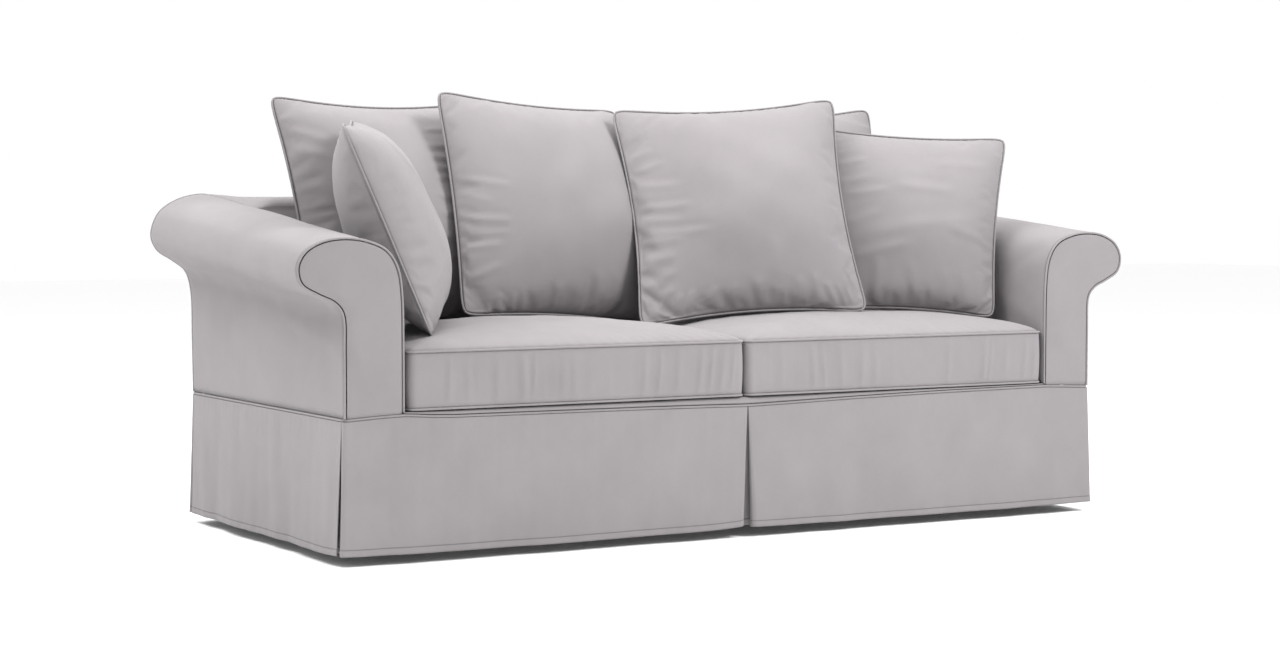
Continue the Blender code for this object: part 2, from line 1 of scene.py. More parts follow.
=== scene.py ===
# %% [markdown]
# # A loose cover with piped cushions, in cloth
# The real thing is sewn from one plain, matt, warm grey cloth: a body cover whose skirt hangs to just
# above the floor, two boxed seat cushions and six loose ones. The solids from the workshop model already
# have the right sizes. This notebook makes every piece again as a fine surface with its folds, lays the
# weave on it, and lights the set like a studio picture.

# %% Start: the fixed frame
import math

import bpy
import numpy as np
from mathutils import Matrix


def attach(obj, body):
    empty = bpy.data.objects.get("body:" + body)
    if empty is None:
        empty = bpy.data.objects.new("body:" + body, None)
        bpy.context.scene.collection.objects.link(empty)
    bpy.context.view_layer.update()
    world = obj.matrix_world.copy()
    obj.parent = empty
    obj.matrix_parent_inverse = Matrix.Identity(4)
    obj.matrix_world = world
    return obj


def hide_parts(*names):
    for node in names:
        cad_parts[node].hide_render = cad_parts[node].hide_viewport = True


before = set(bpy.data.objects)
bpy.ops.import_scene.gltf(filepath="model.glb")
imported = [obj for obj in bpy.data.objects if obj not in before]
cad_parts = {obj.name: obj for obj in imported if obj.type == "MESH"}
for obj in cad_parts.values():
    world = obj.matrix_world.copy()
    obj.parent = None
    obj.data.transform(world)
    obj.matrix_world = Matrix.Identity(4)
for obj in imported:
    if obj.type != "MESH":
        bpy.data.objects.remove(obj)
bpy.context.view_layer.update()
UNDER_DECK = 0.334  # the origin lies this high above the floor
print("nodes in the frame:", len(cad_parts))

# %% [markdown]
# ## The camera
# It stands to the left of the cover's front and looks a little down. A long lens keeps the lines calm.

# %% Camera
CAMERA_PLACE = (-3.2278, -5.5358, 0.4622)
camera_data = bpy.data.cameras.new("picture")
camera_data.lens = 70.92
camera_data.sensor_width = 36.0
camera = bpy.data.objects.new("picture", camera_data)
camera.location = CAMERA_PLACE
camera.rotation_euler = (math.radians(90 - 2.8756), 0.0, math.radians(-30.0641))
bpy.context.scene.collection.objects.link(camera)
bpy.context.scene.camera = camera

# %% [markdown]
# ## The studio
# A white room of soft light. The floor is a plain pale plane, so that a soft shadow gathers under the
# skirt. The key lamp stands high at the front right and gives the cushions their shape. A lamp at the left
# and a wide one above fill in what it leaves dark.

# %% Floor
FLOOR_HALF = 20.0
FLOOR_WHITE = (0.93, 0.93, 0.93, 1)
FLOOR_GLOW = 0.03


def studio_floor():
    """Flat square, 40 m wide, at the floor's height."""
    mesh = bpy.data.meshes.new("studio_floor")
    corners = [(x * FLOOR_HALF, y * FLOOR_HALF, -UNDER_DECK) for x, y in ((-1, -1), (1, -1), (1, 1), (-1, 1))]
    mesh.from_pydata(corners, [], [(0, 1, 2, 3)])
    paint = bpy.data.materials.new("pale_floor")
    paint.use_nodes = True
    shader = paint.node_tree.nodes["Principled BSDF"]
    shader.inputs["Base Color"].default_value = FLOOR_WHITE
    shader.inputs["Roughness"].default_value = 0.9
    shader.inputs["Emission Color"].default_value = (1, 1, 1, 1)
    shader.inputs["Emission Strength"].default_value = FLOOR_GLOW
    mesh.materials.append(paint)
    floor = bpy.data.objects.new("studio_floor", mesh)
    bpy.context.scene.collection.objects.link(floor)


studio_floor()


# %% Lamps and room
def soft_lamp(name, place, aim, size, power):
    """Square lamp at a place, turned to face a point."""
    data = bpy.data.lights.new(name, "AREA")
    data.shape = "SQUARE"
    data.size = size
    data.energy = power
    lamp = bpy.data.objects.new(name, data)
    lamp.location = place
    away = np.array(place, float) - np.array(aim, float)
    flat = math.hypot(away[0], away[1])
    lamp.rotation_euler = (math.atan2(flat, away[2]), 0, math.atan2(away[0], -away[1]))
    bpy.context.scene.collection.objects.link(lamp)


soft_lamp("key lamp", (1.9, -3.3, 3.6), (0.1, 0, 0.1), 1.8, 235)
soft_lamp("left lamp", (-3.2, 0.3, 3.6), (-0.8, 0, 0.1), 2.0, 180)
soft_lamp("top lamp", (0.0, 0.4, 4.0), (0, 0, 0), 3.0, 150)
room = bpy.data.worlds.new("white room")
room.use_nodes = True
room.node_tree.nodes["Background"].inputs["Color"].default_value = (1.0, 1.0, 1.0, 1)
room.node_tree.nodes["Background"].inputs["Strength"].default_value = 1.0
bpy.context.scene.world = room
bpy.context.scene.view_settings.view_transform = "Standard"

# %% [markdown]
# ## The cloth's finish
# Close up, the cloth is a fine plain weave: threads 0.9 mm apart cross over and under. Two wave patterns at
# right angles make the threads, a small noise makes them uneven, and a broad, faint one gives the slight
# blotches that washed cotton has. The weave runs in each piece's own map, which is measured in metres, so it
# follows every fold. Sheen stands for the light nap on the threads.

# %% Weave
THREAD = 0.0009
SEAM_PAINTED_SHADE = 0.68  # painted shade: the cloth is this much darker beside a seam, where the groove by the piping lies in shade
STITCH_SHADE = 0.62
SHADE_REACH = 0.0018


def woven_cloth(name, light, dark, stitch_row=None):
    """Principled cloth. Colour = blotches between light and dark. Bump = sine across * sine along + fuzz.

    The "seam" attribute is the distance to the nearest seam. Over the last 1.8 mm the colour darkens: this is
    painted shade, the shade of the groove beside the seam. With stitch_row, a line of stitches lies at that
    distance above the map's lower edge.
    """
    material = bpy.data.materials.new(name)
    material.use_nodes = True
    tree = material.node_tree
    shader = tree.nodes["Principled BSDF"]
    shader.inputs["Roughness"].default_value = 0.92
    shader.inputs["Specular IOR Level"].default_value = 0.18
    shader.inputs["Sheen Weight"].default_value = 0.12
    shader.inputs["Sheen Roughness"].default_value = 0.45

    def node(kind, values=None, **settings):
        """Outputs of a new node. An input whose value is a socket is linked to it; others keep the value."""
        made = tree.nodes.new("ShaderNode" + kind)
        for key, setting in settings.items():
            setattr(made, key, setting)
        for key, value in (values or {}).items():
            if isinstance(value, bpy.types.NodeSocket):
                tree.links.new(value, made.inputs[key])
            else:
                made.inputs[key].default_value = value
        return made.outputs

    def darkened(colour, distance, start, shade):
        """The colour times a factor that climbs from shade at the start distance to 1 at SHADE_REACH."""
        span = {"Value": distance, "From Min": start, "From Max": SHADE_REACH, "To Min": shade, "To Max": 1.0}
        factor = node("MapRange", span, interpolation_type="SMOOTHSTEP")[0]
        return node("VectorMath", {0: colour, "Scale": factor}, operation="SCALE")[0]

    place = node("TexCoord")["Object"]
    metres_map = node("SeparateXYZ", {0: node("UVMap", uv_map="metres")["UV"]})
    blotch = node("TexNoise", {"Vector": place, "Scale": 7.0, "Detail": 5.0, "Roughness": 0.62})["Fac"]
    slub = node("TexNoise", {"Vector": place, "Scale": 420.0, "Detail": 2.0})["Fac"]
    mixed = node("Math", {0: slub, 1: 0.30, 2: blotch}, operation="MULTIPLY_ADD")[0]
    ramp = tree.nodes.new("ShaderNodeValToRGB")
    for element, position, paint in zip(ramp.color_ramp.elements, (0.36, 0.94), (dark, light)):
        element.position = position
        element.color = (*paint, 1)
    tree.links.new(mixed, ramp.inputs["Fac"])

    threads = []
    for axis in ("X", "Y"):
        turn = node("Math", {0: metres_map[axis], 1: 2 * math.pi / THREAD}, operation="MULTIPLY")[0]
        threads.append(node("Math", {0: turn}, operation="SINE")[0])
    weave = node("Math", {0: threads[0], 1: threads[1]}, operation="MULTIPLY")[0]
    relief = node("Math", {0: weave, 1: 0.35, 2: slub}, operation="MULTIPLY_ADD")[0]
    bump = node("Bump", {"Strength": 0.22, "Distance": 0.0006, "Height": relief})["Normal"]
    tree.links.new(bump, shader.inputs["Normal"])

    # painted shade: the colour darkens over the last 1.8 mm before a seam, where the groove lies in shade
    seam = node("Attribute", attribute_name="seam")["Fac"]
    colour = darkened(ramp.outputs["Color"], seam, 0.0004, SEAM_PAINTED_SHADE)
    if stitch_row is not None:
        off = node("Math", {0: metres_map["Y"], 1: stitch_row}, operation="SUBTRACT")[0]
        away = node("Math", {0: off}, operation="ABSOLUTE")[0]
        colour = darkened(colour, away, 0.0006, STITCH_SHADE)
    tree.links.new(colour, shader.inputs["Base Color"])
    return material


# %% The four finishes
HEM_STITCH = 0.015
COVER_GREYS = (0.213, 0.200, 0.206), (0.189, 0.177, 0.182)
CUSHION_GREYS = (0.215, 0.202, 0.208), (0.191, 0.179, 0.184)
COVER = woven_cloth("cover weave", *COVER_GREYS)
SKIRT = woven_cloth("skirt weave", *COVER_GREYS, HEM_STITCH)
CUSHION = woven_cloth("cushion weave", *CUSHION_GREYS)
CORDED = woven_cloth("piping weave", *COVER_GREYS)

# %% [markdown]
# ## Turning a grid of points into cloth
# Every piece below is a grid: a function of two numbers gives a whole array of points at once. A grid of
# quads covers them, its map holds the arc lengths along both directions, and Solidify gives the 2 mm of
# cloth. Tables of folds are written in centimetres and millimetres, which keeps them short.

# %% Lengths, steps and waves
CLOTH = 0.002
GAP = 0.0003
WAVES = 7


def metres(rows, *parts):
    """Rows of a table in metres. Each column is written in parts of a metre: 100 is cm, 1000 is mm."""
    return [[value / part for value, part in zip(row, parts)] for row in rows]


def smoothstep(x):
    """0 below 0, 1 above 1, and 3x^2 - 2x^3 between."""
    x = np.clip(x, 0, 1)
    return x * x * (3 - 2 * x)


def smooth_rows(rows, samples):
    """Catmull-Rom curve through rows, at positions counted in rows."""
    rows = np.asarray(rows, float)
    keys = np.vstack([2 * rows[0] - rows[1], rows, 2 * rows[-1] - rows[-2]])
    start = np.clip(np.floor(samples).astype(int), 0, len(rows) - 2)
    t = (samples - start)[:, None]
    a, b, c, d = (keys[start + k] for k in range(4))
    return 0.5 * (2 * b + (c - a) * t + (2 * a - 5 * b + 4 * c - d) * t**2 + (3 * b - a - 3 * c + d) * t**3)


def steps(points, axis=0):
    """Lengths of the steps from point to point along one axis of an array of points."""
    return np.linalg.norm(np.diff(points, axis=axis), axis=-1)


def summed(lengths):
    """Running sum that starts at 0."""
    return np.r_[0, np.cumsum(lengths)]


def headings(path, closed=False):
    """Unit direction of a path at each of its points, from the point before to the point after."""
    if closed:
        step = np.roll(path, -1, axis=0) - np.roll(path, 1, axis=0)
    else:
        step = np.gradient(path, axis=0)
    return step / np.linalg.norm(step, axis=1, keepdims=True)


def bell(x, width):
    """Bell curve: 1 at 0, and e^-1 one width away."""
    return np.exp(-((x / width) ** 2))


def uneven_wave(along, length, swing, rate, start=0.0):
    """Sine of a length whose phase swings to and fro, so that no two of its waves are alike."""
    return np.sin(2 * math.pi * along / length + swing * np.sin(along * rate + start))


def soft_waves(across, up, seed, length, height):
    """Sum of 7 sine waves with turns and phases from a seed: the unevenness that no cloth lacks."""
    rng = np.random.default_rng(seed)
    turns = rng.uniform(0, math.pi, WAVES)
    phases = rng.uniform(0, 7, WAVES)
    stretches = rng.uniform(0.6, 1.6, WAVES)
    total = np.zeros_like(across)
    for turn, phase, stretch in zip(turns, phases, stretches):
        along = across * math.cos(turn) + up * math.sin(turn)
        total += np.sin(2 * math.pi * along / (length * stretch) + phase)
    return height * total / WAVES**0.5


def creases(across, up, table):
    """Folds from a table. Each row: start, end, width, height. The fold is a bell across its line and fades
    at both ends; a small opposite bell beside it makes the hollow that a real fold has."""
    total = np.zeros_like(across)
    for x0, y0, x1, y1, width, height in table:
        dx, dy = x1 - x0, y1 - y0
        size = math.hypot(dx, dy)
        share = ((across - x0) * dx + (up - y0) * dy) / size**2
        side = ((across - x0) * -dy + (up - y0) * dx) / size
        ends = smoothstep((share + 0.15) / 0.35) * smoothstep((1.15 - share) / 0.35)
        total += height * ends * (bell(side, width) - 0.55 * bell(side - 1.7 * width, 1.2 * width))
    return total


# %% Grid tools
ALL_SIDES = ("left", "right", "low", "high")


def outward(points):
    """Unit normal of each grid point: across-step times up-step."""
    up_step, across_step = np.gradient(points, axis=(0, 1))
    normal = np.cross(across_step, up_step)
    return normal / (np.linalg.norm(normal, axis=2, keepdims=True) + 1e-12)


def arc_map(points):
    """(across, up) in metres at each grid point: summed steps, averaged over the grid's other direction."""
    across, up = steps(points, 1).mean(0), steps(points, 0).mean(1)
    return np.stack(np.meshgrid(summed(across), summed(up)), axis=-1)


def grid_quads(rows, columns):
    """Quads of a grid; seen from outside, columns run right and rows run up."""
    index = np.arange(rows * columns).reshape(rows, columns)
    return np.stack((index[:-1, :-1], index[:-1, 1:], index[1:, 1:], index[1:, :-1]), axis=-1).reshape(-1, 4)


def seam_reach(uv, sides):
    """Distance to the nearest of a grid's sewn sides: left, right, low and high, or any of them."""
    width, height = uv[..., 0].max(), uv[..., 1].max()
    away = {"left": uv[..., 0], "right": width - uv[..., 0], "low": uv[..., 1], "high": height - uv[..., 1]}
    return np.minimum.reduce([away[side] for side in sides])


def edge_fade(points, reach):
    """0 at a grid's edges and 1 from reach metres inwards, so that folds die out at the seams."""
    return smoothstep(seam_reach(arc_map(points), ALL_SIDES) / reach)


def mirrored(points):
    """The same grid on the other side of the middle, still facing outwards."""
    return (points * (-1, 1, 1))[:, ::-1]


# %% From points to a piece
def add_surface(name, points, faces, uv, seam, material, node):
    """Mesh of points and faces with its map in metres and its seam distance; it stands for one node."""
    mesh = bpy.data.meshes.new(name)
    mesh.from_pydata(points.reshape(-1, 3) - (0, 0, UNDER_DECK), [], faces)
    layer = mesh.uv_layers.new(name="metres")
    corners = np.concatenate([np.asarray(face) for face in faces])
    layer.data.foreach_set("uv", np.asarray(uv, np.float32).reshape(-1, 2)[corners].ravel())
    distance = mesh.attributes.new("seam", "FLOAT", "POINT")
    distance.data.foreach_set("value", np.asarray(seam, np.float32).ravel())
    mesh.shade_smooth()
    mesh.materials.append(material)
    piece = bpy.data.objects.new(name, mesh)
    bpy.context.scene.collection.objects.link(piece)
    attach(piece, "root")
    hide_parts(node)
    return piece


def sewn_sheet(node, points, material, uv=None, sides=ALL_SIDES):
    """Sheet of cloth on a grid of outer points, 2 mm thick inwards."""
    uv = arc_map(points) if uv is None else uv
    faces = grid_quads(*points.shape[:2])
    piece = add_surface(node + "_cloth", points, faces, uv, seam_reach(uv, sides), material, node)
    wall = piece.modifiers.new("thickness", "SOLIDIFY")
    wall.thickness = CLOTH
    wall.offset = -1.0
    wall.use_even_offset = True


# %% [markdown]
# ## Piping
# Piping is a cord wrapped in a strip of the same cloth and sewn into a seam. It is a round profile carried
# along a path: at each point the circle lies in the plane of the seam's own normal and the path's side.

# %% Piping tool
PIPING = 0.0028
PIPING_CLEAR = PIPING + GAP + 0.0001
PIPING_PROUD = 0.0015
PIPING_STEP = 0.008
PIPING_UNEVEN = 0.00012


def resampled(path, step, closed):
    """The path at even steps of arc length, smoothed by a Catmull-Rom curve."""
    if closed:
        path = np.vstack([path, path[:1]])
    along = summed(steps(path))
    count = max(int(round(along[-1] / step)), 8)
    at = np.linspace(0, along[-1], count + 1)
    if closed:
        at = at[:-1]
    position = np.interp(at, along, np.arange(len(path)))
    if closed:
        keys = np.vstack([path[-2], path, path[1]])
        return smooth_rows(keys, position + 1)
    return smooth_rows(path, position)


def piping(node, path, normal, closed=False, sides=10):
    """Tube: path + radius * (cos a * side + sin a * lift), side = heading x normal, lift = side x heading."""
    path = resampled(np.asarray(path, float), PIPING_STEP, closed)
    heading = headings(path, closed)
    side = np.cross(heading, normal)
    side /= np.linalg.norm(side, axis=1, keepdims=True)
    lift = np.cross(side, heading)
    turn = np.linspace(0, 2 * math.pi, sides, endpoint=False)
    along = np.arange(len(path)) * PIPING_STEP
    radius = PIPING - PIPING_UNEVEN * (1 + uneven_wave(along, 0.021, 3, 9))
    round_way = np.cos(turn)[None, :, None] * side[:, None] + np.sin(turn)[None, :, None] * lift[:, None]
    rings = path[:, None] + radius[:, None, None] * round_way
    count = len(path)
    index = np.arange(count * sides).reshape(count, sides)
    after = np.roll(index, -1, axis=1)
    stack = (index, np.roll(index, -1, axis=0), np.roll(after, -1, axis=0), after)
    last = count if closed else count - 1
    faces = np.stack([part[:last] for part in stack], axis=-1).reshape(-1, 4)[:, ::-1].tolist()
    if not closed:
        faces += [index[0].tolist(), index[-1][::-1].tolist()]
    uv = np.stack(np.broadcast_arrays(along[:, None], turn[None] * PIPING), axis=-1).reshape(-1, 2)
    seam = np.full(len(uv), 0.01)
    piece = add_surface(node + "_cord", rings, faces, uv, seam, CORDED, node)


# %% [markdown]
# ## The arms
# Each arm is one length of cloth that climbs the inside, rolls over the top and falls down the outside. The
# table gives its section at the front and at the rear, and a smooth curve runs through the rows. Drag folds
# start under the roll, where the cloth is pulled round.

# %% Arm section
HALF_DEPTH = 0.4742
PIPING_DEPTH = HALF_DEPTH - PIPING_PROUD
SHEET_END = PIPING_DEPTH - PIPING_CLEAR
DECK_TOP = 0.336
DECK_ROUND = 0.012
DECK_OUT = 0.900
FOOT_UP = DECK_TOP + 2 * GAP
BACK_FOOT_Y = 0.165
BACK_FACE_TOP_Y = 0.300
BACK_FACE_TOP = 0.785
BACK_ROUND = 0.0275
BACK_TOP = BACK_FACE_TOP + BACK_ROUND
BACK_LEVEL_OUT = 0.880
SHOULDER_OUT = (0.955, 1.013)
SHOULDER_GAP = 0.0029
CREST = 6
ARM_PER_ROW = 9
ARM_DEPTH_ROWS = 97
OUTLINE_PER_ROW = 12
ARM_SECTION = (
    # front out, up      rear out, up
    (0.8985, 0.3366, 0.8985, 0.3366),  # inside foot
    (0.8985, 0.4700, 0.8985, 0.4900),
    (0.9000, 0.5850, 0.9000, 0.6650),
    (0.9095, 0.6520, 0.9095, 0.7500),
    (0.9370, 0.6950, 0.9340, 0.7890),  # shoulder
    (0.9850, 0.7165, 0.9680, 0.8120),
    (1.0380, 0.7230, 1.0130, 0.8210),  # crest
    (1.0900, 0.7160, 1.0750, 0.8090),
    (1.1310, 0.6940, 1.1270, 0.7760),
    (1.1500, 0.6585, 1.1485, 0.7230),  # outermost
    (1.1400, 0.6200, 1.1330, 0.6820),
    (1.1010, 0.5970, 1.0930, 0.6555),
    (1.0630, 0.5790, 1.0590, 0.6270),  # neck
    (1.0430, 0.5480, 1.0450, 0.5700),
    (1.0415, 0.4700, 1.0430, 0.4700),
    (1.0415, 0.3272, 1.0415, 0.3272),  # outside foot
)


def arm_section(samples, y):
    """(out, up) at positions in the table: the front row moved towards the rear row by the share of depth."""
    curve = smooth_rows(ARM_SECTION, samples)
    share = np.clip((y + HALF_DEPTH) / (2 * HALF_DEPTH), 0, 1)
    out = curve[:, 0] + (curve[:, 2] - curve[:, 0]) * share
    return out, curve[:, 1] + (curve[:, 3] - curve[:, 1]) * share


def back_face_y(up):
    """Depth of the inside back: a straight rake from its foot to its top."""
    share = np.clip((up - DECK_TOP) / (BACK_FACE_TOP - DECK_TOP), 0, 1)
    return BACK_FOOT_Y + (BACK_FACE_TOP_Y - BACK_FOOT_Y) * share


def arm_samples(per_row):
    """Positions along the table, with the same number between any two rows."""
    last = len(ARM_SECTION) - 1
    return np.linspace(0, last, last * per_row + 1)


def arm_rear_y(samples):
    """Where an arm's cloth ends at the rear, found by six rounds of walking to the back's face."""
    end = np.full(len(samples), SHEET_END)
    for _ in range(6):
        out, up = arm_section(samples, end)
        share = (out - SHOULDER_OUT[0]) / (SHOULDER_OUT[1] - SHOULDER_OUT[0])
        shoulder = BACK_FACE_TOP_Y + (HALF_DEPTH - BACK_FACE_TOP_Y) * share
        inside = np.where(out < SHOULDER_OUT[0], back_face_y(up), shoulder)
        end = np.where(samples < CREST, np.minimum(inside - SHOULDER_GAP, SHEET_END), SHEET_END)
    return end


# %% Arms
# start (along, round), end, width, height; "along" runs from the front, "round" from the inside foot
ARM_FOLDS = {
    "left": (
        (0.02, 0.98, 0.30, 0.92, 0.020, 0.0016),
        (0.05, 1.05, 0.42, 1.02, 0.028, -0.0014),
        (0.50, 0.98, 0.80, 0.94, 0.026, 0.0012),
        (0.10, 0.30, 0.32, 0.48, 0.030, 0.0012),
    ),
    "right": (
        (0.02, 0.40, 0.20, 0.30, 0.022, -0.0018),
        (0.05, 0.18, 0.30, 0.26, 0.026, 0.0016),
        (0.10, 0.98, 0.40, 0.93, 0.026, 0.0014),
    ),
}


def arm(side, label):
    """Section swept from front to rear; folds stand out along the normal and die out at the seams."""
    samples = arm_samples(ARM_PER_ROW)
    rear = arm_rear_y(samples)
    rows = []
    for share in np.linspace(0, 1, ARM_DEPTH_ROWS):
        y = -SHEET_END + (rear + SHEET_END) * share
        out, up = arm_section(samples, y)
        rows.append(np.c_[-out, y, up])
    points = np.array(rows)[:, ::-1]
    uv = arc_map(points)
    along, round_way = uv[..., 1], uv[..., 0].max() - uv[..., 0]
    lift = soft_waves(along, round_way, 3 + side, 0.30, 0.0011)
    lift += soft_waves(along, round_way, 9 + side, 0.09, 0.00025)
    lift += creases(along, round_way, ARM_FOLDS[label])
    pucker = 0.0004 * uneven_wave(round_way, 0.031, 2, 21) * np.exp(-along / 0.030)
    points = points + outward(points) * ((lift + pucker) * edge_fade(points, 0.030))[..., None]
    points = mirrored(points) if side > 0 else points
    sewn_sheet("arm_" + label, points, COVER)


arm(-1, "left")
arm(1, "right")

# %% [markdown]
# ## Panels on the front of the arms
# A flat panel closes each arm at the front. It follows the section's outline, a little inside the piping, and
# its middle stands out by a few millimetres because the seam is tight.

# %% Outlines and level rows
PIPING_INSET = PIPING - PIPING_PROUD
PANEL_INSET = PIPING_INSET + PIPING_CLEAR + 0.0013
SEAM_UP = 0.3240
CLOSE_ROWS = 14
# Height of the skirt's seam along the front: x, height
SEAM_FRONT = (
    (-1.031, 0.3240), (-0.965, 0.3278), (-0.930, 0.3292), (-0.8985, 0.3300), (-0.870, 0.3284),
    (-0.830, 0.3254), (-0.780, 0.3234), (-0.660, 0.3225), (-0.450, 0.3212), (-0.270, 0.3201),
    (-0.120, 0.3182), (0.000, 0.3162), (0.120, 0.3186), (0.290, 0.3227), (0.450, 0.3256),
    (0.600, 0.3276), (0.750, 0.3288), (0.840, 0.3296), (0.8985, 0.3300), (0.930, 0.3290),
    (0.965, 0.3276), (1.031, 0.3242),
)


def seam_up(x, y):
    """Height of the skirt's seam: the table along the front, level at the sides and the back."""
    at_front = np.clip((-y - 0.36) / 0.10, 0, 1)
    return SEAM_UP + at_front * (np.interp(x, *np.transpose(SEAM_FRONT)) - SEAM_UP)


def moved_right(outline, distance, closed=False):
    """A flat outline moved to its right-hand side by a distance."""
    step = headings(outline, closed)
    return outline + np.asarray(distance).reshape(-1, 1) * np.c_[step[:, 1], -step[:, 0]]


def level_rows(outline, side, y, top_step, row_step, fractions):
    """(across, up) grid filling an outline: level rows, closer near the top; the lowest follows the seam."""
    top = int(np.argmax(outline[:, 1]))
    left, right = outline[: top + 1], outline[top:][::-1]
    highest = outline[top, 1]
    plain = np.arange(FOOT_UP, highest - CLOSE_ROWS * top_step, row_step)
    shares = np.linspace(1, 0, CLOSE_ROWS + 1)[1:-1]
    heights = np.r_[plain, highest - (highest - plain[-1]) * shares**2]
    rows = []
    for height in heights:
        start = np.interp(height, left[:, 1], left[:, 0])
        end = np.interp(height, right[:, 1], right[:, 0])
        across = start + (end - start) * fractions
        rows.append(np.c_[across, np.full(len(across), height)])
    rows[0][:, 1] = seam_up(side * rows[0][:, 0], y) + PIPING_CLEAR
    arc = outline[outline[:, 1] > heights[-1]]
    across = start + (end - start) * (0.03 + 0.94 * fractions)
    rows.append(np.c_[across, np.interp(across, arc[:, 0], arc[:, 1])])
    return np.array(rows)


def arm_front_outline(inset):
    """The section at the front, moved inwards."""
    out, up = arm_section(arm_samples(OUTLINE_PER_ROW), -HALF_DEPTH)
    return moved_right(np.c_[out, up], inset)


def tight_puff(height, rows, fractions, power):
    """Height times a hump over the rows and a hump over the fractions: a panel under tight seams."""
    rise = np.sin(np.linspace(0, math.pi, rows))[:, None] ** power
    return height * rise * (4 * fractions * (1 - fractions)) ** 0.7


# %% Arm fronts with their piping
def arm_front(side, label):
    """Panel = level rows + a puff that grows with the distance from the edge + small waves."""
    fractions = 0.5 - 0.5 * np.cos(np.linspace(0, math.pi, 46))
    flat = level_rows(arm_front_outline(PANEL_INSET), side, -HALF_DEPTH, 0.0022, 0.005, fractions)
    puff = tight_puff(0.005, len(flat), fractions, 0.5)
    points = np.stack([-flat[..., 0], -HALF_DEPTH - puff, flat[..., 1]], axis=-1)[:, ::-1]
    wave = soft_waves(points[..., 0], points[..., 2], 21 + side, 0.16, 0.0010)
    points[..., 1] -= wave * edge_fade(points, 0.035)
    points = mirrored(points) if side > 0 else points
    sewn_sheet("arm_front_" + label, points, COVER)
    outline = arm_front_outline(PIPING_INSET)
    outline[0, 1] = FOOT_UP + GAP
    path = np.c_[side * outline[:, 0], np.full(len(outline), -PIPING_DEPTH), outline[:, 1]]
    piping("arm_front_piping_" + label, path, (0, 1, 0))


arm_front(-1, "left")
arm_front(1, "right")

# %% [markdown]
# ## The back and the deck
# The outside back is one panel under piping that runs from foot to foot over both arms. The inside back
# leans, rounds over the top and blends into the arms. The deck lies under the seat cushions and rolls down to
# the skirt's seam.

# %% Outside back
# Rear edge of the top from an arm's crest to the level middle: x, height
SHOULDER_TOP = ((-1.013, 0.8210), (-0.960, 0.8150), (-0.915, BACK_TOP), (-0.8, BACK_TOP))
# Shares of the panel's width at every ninth column, up to its middle
OUTSIDE_SHARES = (0, 0.012, 0.03, 0.055, 0.08, 0.15, 0.25, 0.375)


def rear_outline(inset):
    """(x, up) of the whole back from its left foot to its right foot, mirrored about the middle."""
    out, up = arm_section(arm_samples(OUTLINE_PER_ROW)[OUTLINE_PER_ROW * CREST :], HALF_DEPTH)
    scroll = np.c_[-out, up][::-1]
    tops = smooth_rows(SHOULDER_TOP, np.linspace(0.1, 2.9, 30))
    left = np.vstack([scroll, tops, [(x, BACK_TOP) for x in np.linspace(-0.78, -0.02, 39)]])
    return moved_right(np.vstack([left, [(0, BACK_TOP)], (left * (-1, 1))[::-1]]), inset)


def back_outside():
    """Panel = level rows between the outline's sides + a low puff + waves."""
    share = np.array(OUTSIDE_SHARES)
    share = np.r_[share, 0.5, 1 - share[::-1]]
    fractions = np.interp(np.linspace(0, 16, 145), np.arange(17), share)
    flat = level_rows(rear_outline(PANEL_INSET), 1, HALF_DEPTH, 0.0018, 0.007, fractions)
    puff = tight_puff(0.006, len(flat), fractions, 1)
    points = np.stack([flat[..., 0], HALF_DEPTH + puff, flat[..., 1]], axis=-1)[:, ::-1]
    wave = soft_waves(points[..., 0], points[..., 2], 31, 0.28, 0.0016)
    points[..., 1] += wave * edge_fade(points, 0.05)
    sewn_sheet("back_outside", points, COVER)
    outline = rear_outline(PIPING_INSET)
    piping("back_piping", np.c_[outline[:, 0], np.full(len(outline), PIPING_DEPTH), outline[:, 1]], (0, 1, 0))


# %% Inside back and deck
def back_inside():
    """Rows up the raked face, round the top edge and back along the top; the ends rise to meet the arms."""
    face_up = np.linspace(FOOT_UP + 2 * GAP, BACK_FACE_TOP, 50)
    turn = np.radians(np.linspace(8, 90, 12))
    top_y = np.linspace(BACK_FACE_TOP_Y + BACK_ROUND, SHEET_END - 2 * GAP, 20)[1:]
    profile_y = np.r_[back_face_y(face_up), BACK_FACE_TOP_Y + BACK_ROUND * (1 - np.cos(turn)), top_y]
    profile_up = np.r_[face_up, BACK_FACE_TOP + BACK_ROUND * np.sin(turn), np.full(19, BACK_TOP)]
    half = np.r_[np.linspace(0, 0.88, 71), np.linspace(0.89, 1, 14)]
    fractions = np.r_[-half[::-1], half[1:]]
    samples = np.linspace(0, CREST, 181)
    rows = []
    for number, (y, up) in enumerate(zip(profile_y, profile_up)):
        out, arm_up = arm_section(samples, y)
        if number < len(face_up):
            end, end_up = min(np.interp(up, arm_up, out), SHOULDER_OUT[0]) - SHOULDER_GAP, up
        else:
            share = (y - BACK_FACE_TOP_Y) / (HALF_DEPTH - BACK_FACE_TOP_Y)
            end = SHOULDER_OUT[0] + (SHOULDER_OUT[1] - SHOULDER_OUT[0]) * share - SHOULDER_GAP
            end_up = np.interp(end, out, arm_up)
        x = fractions * end
        blend = smoothstep((np.abs(x) - BACK_LEVEL_OUT) / (end - BACK_LEVEL_OUT))
        rows.append(np.c_[x, np.full(len(x), y), up + (end_up - up) * blend])
    points = np.array(rows)
    wave = soft_waves(points[..., 0], points[..., 2] + points[..., 1], 41, 0.30, 0.0012)
    points = points + outward(points) * (wave * edge_fade(points, 0.04))[..., None]
    sewn_sheet("back_inside", points, COVER)


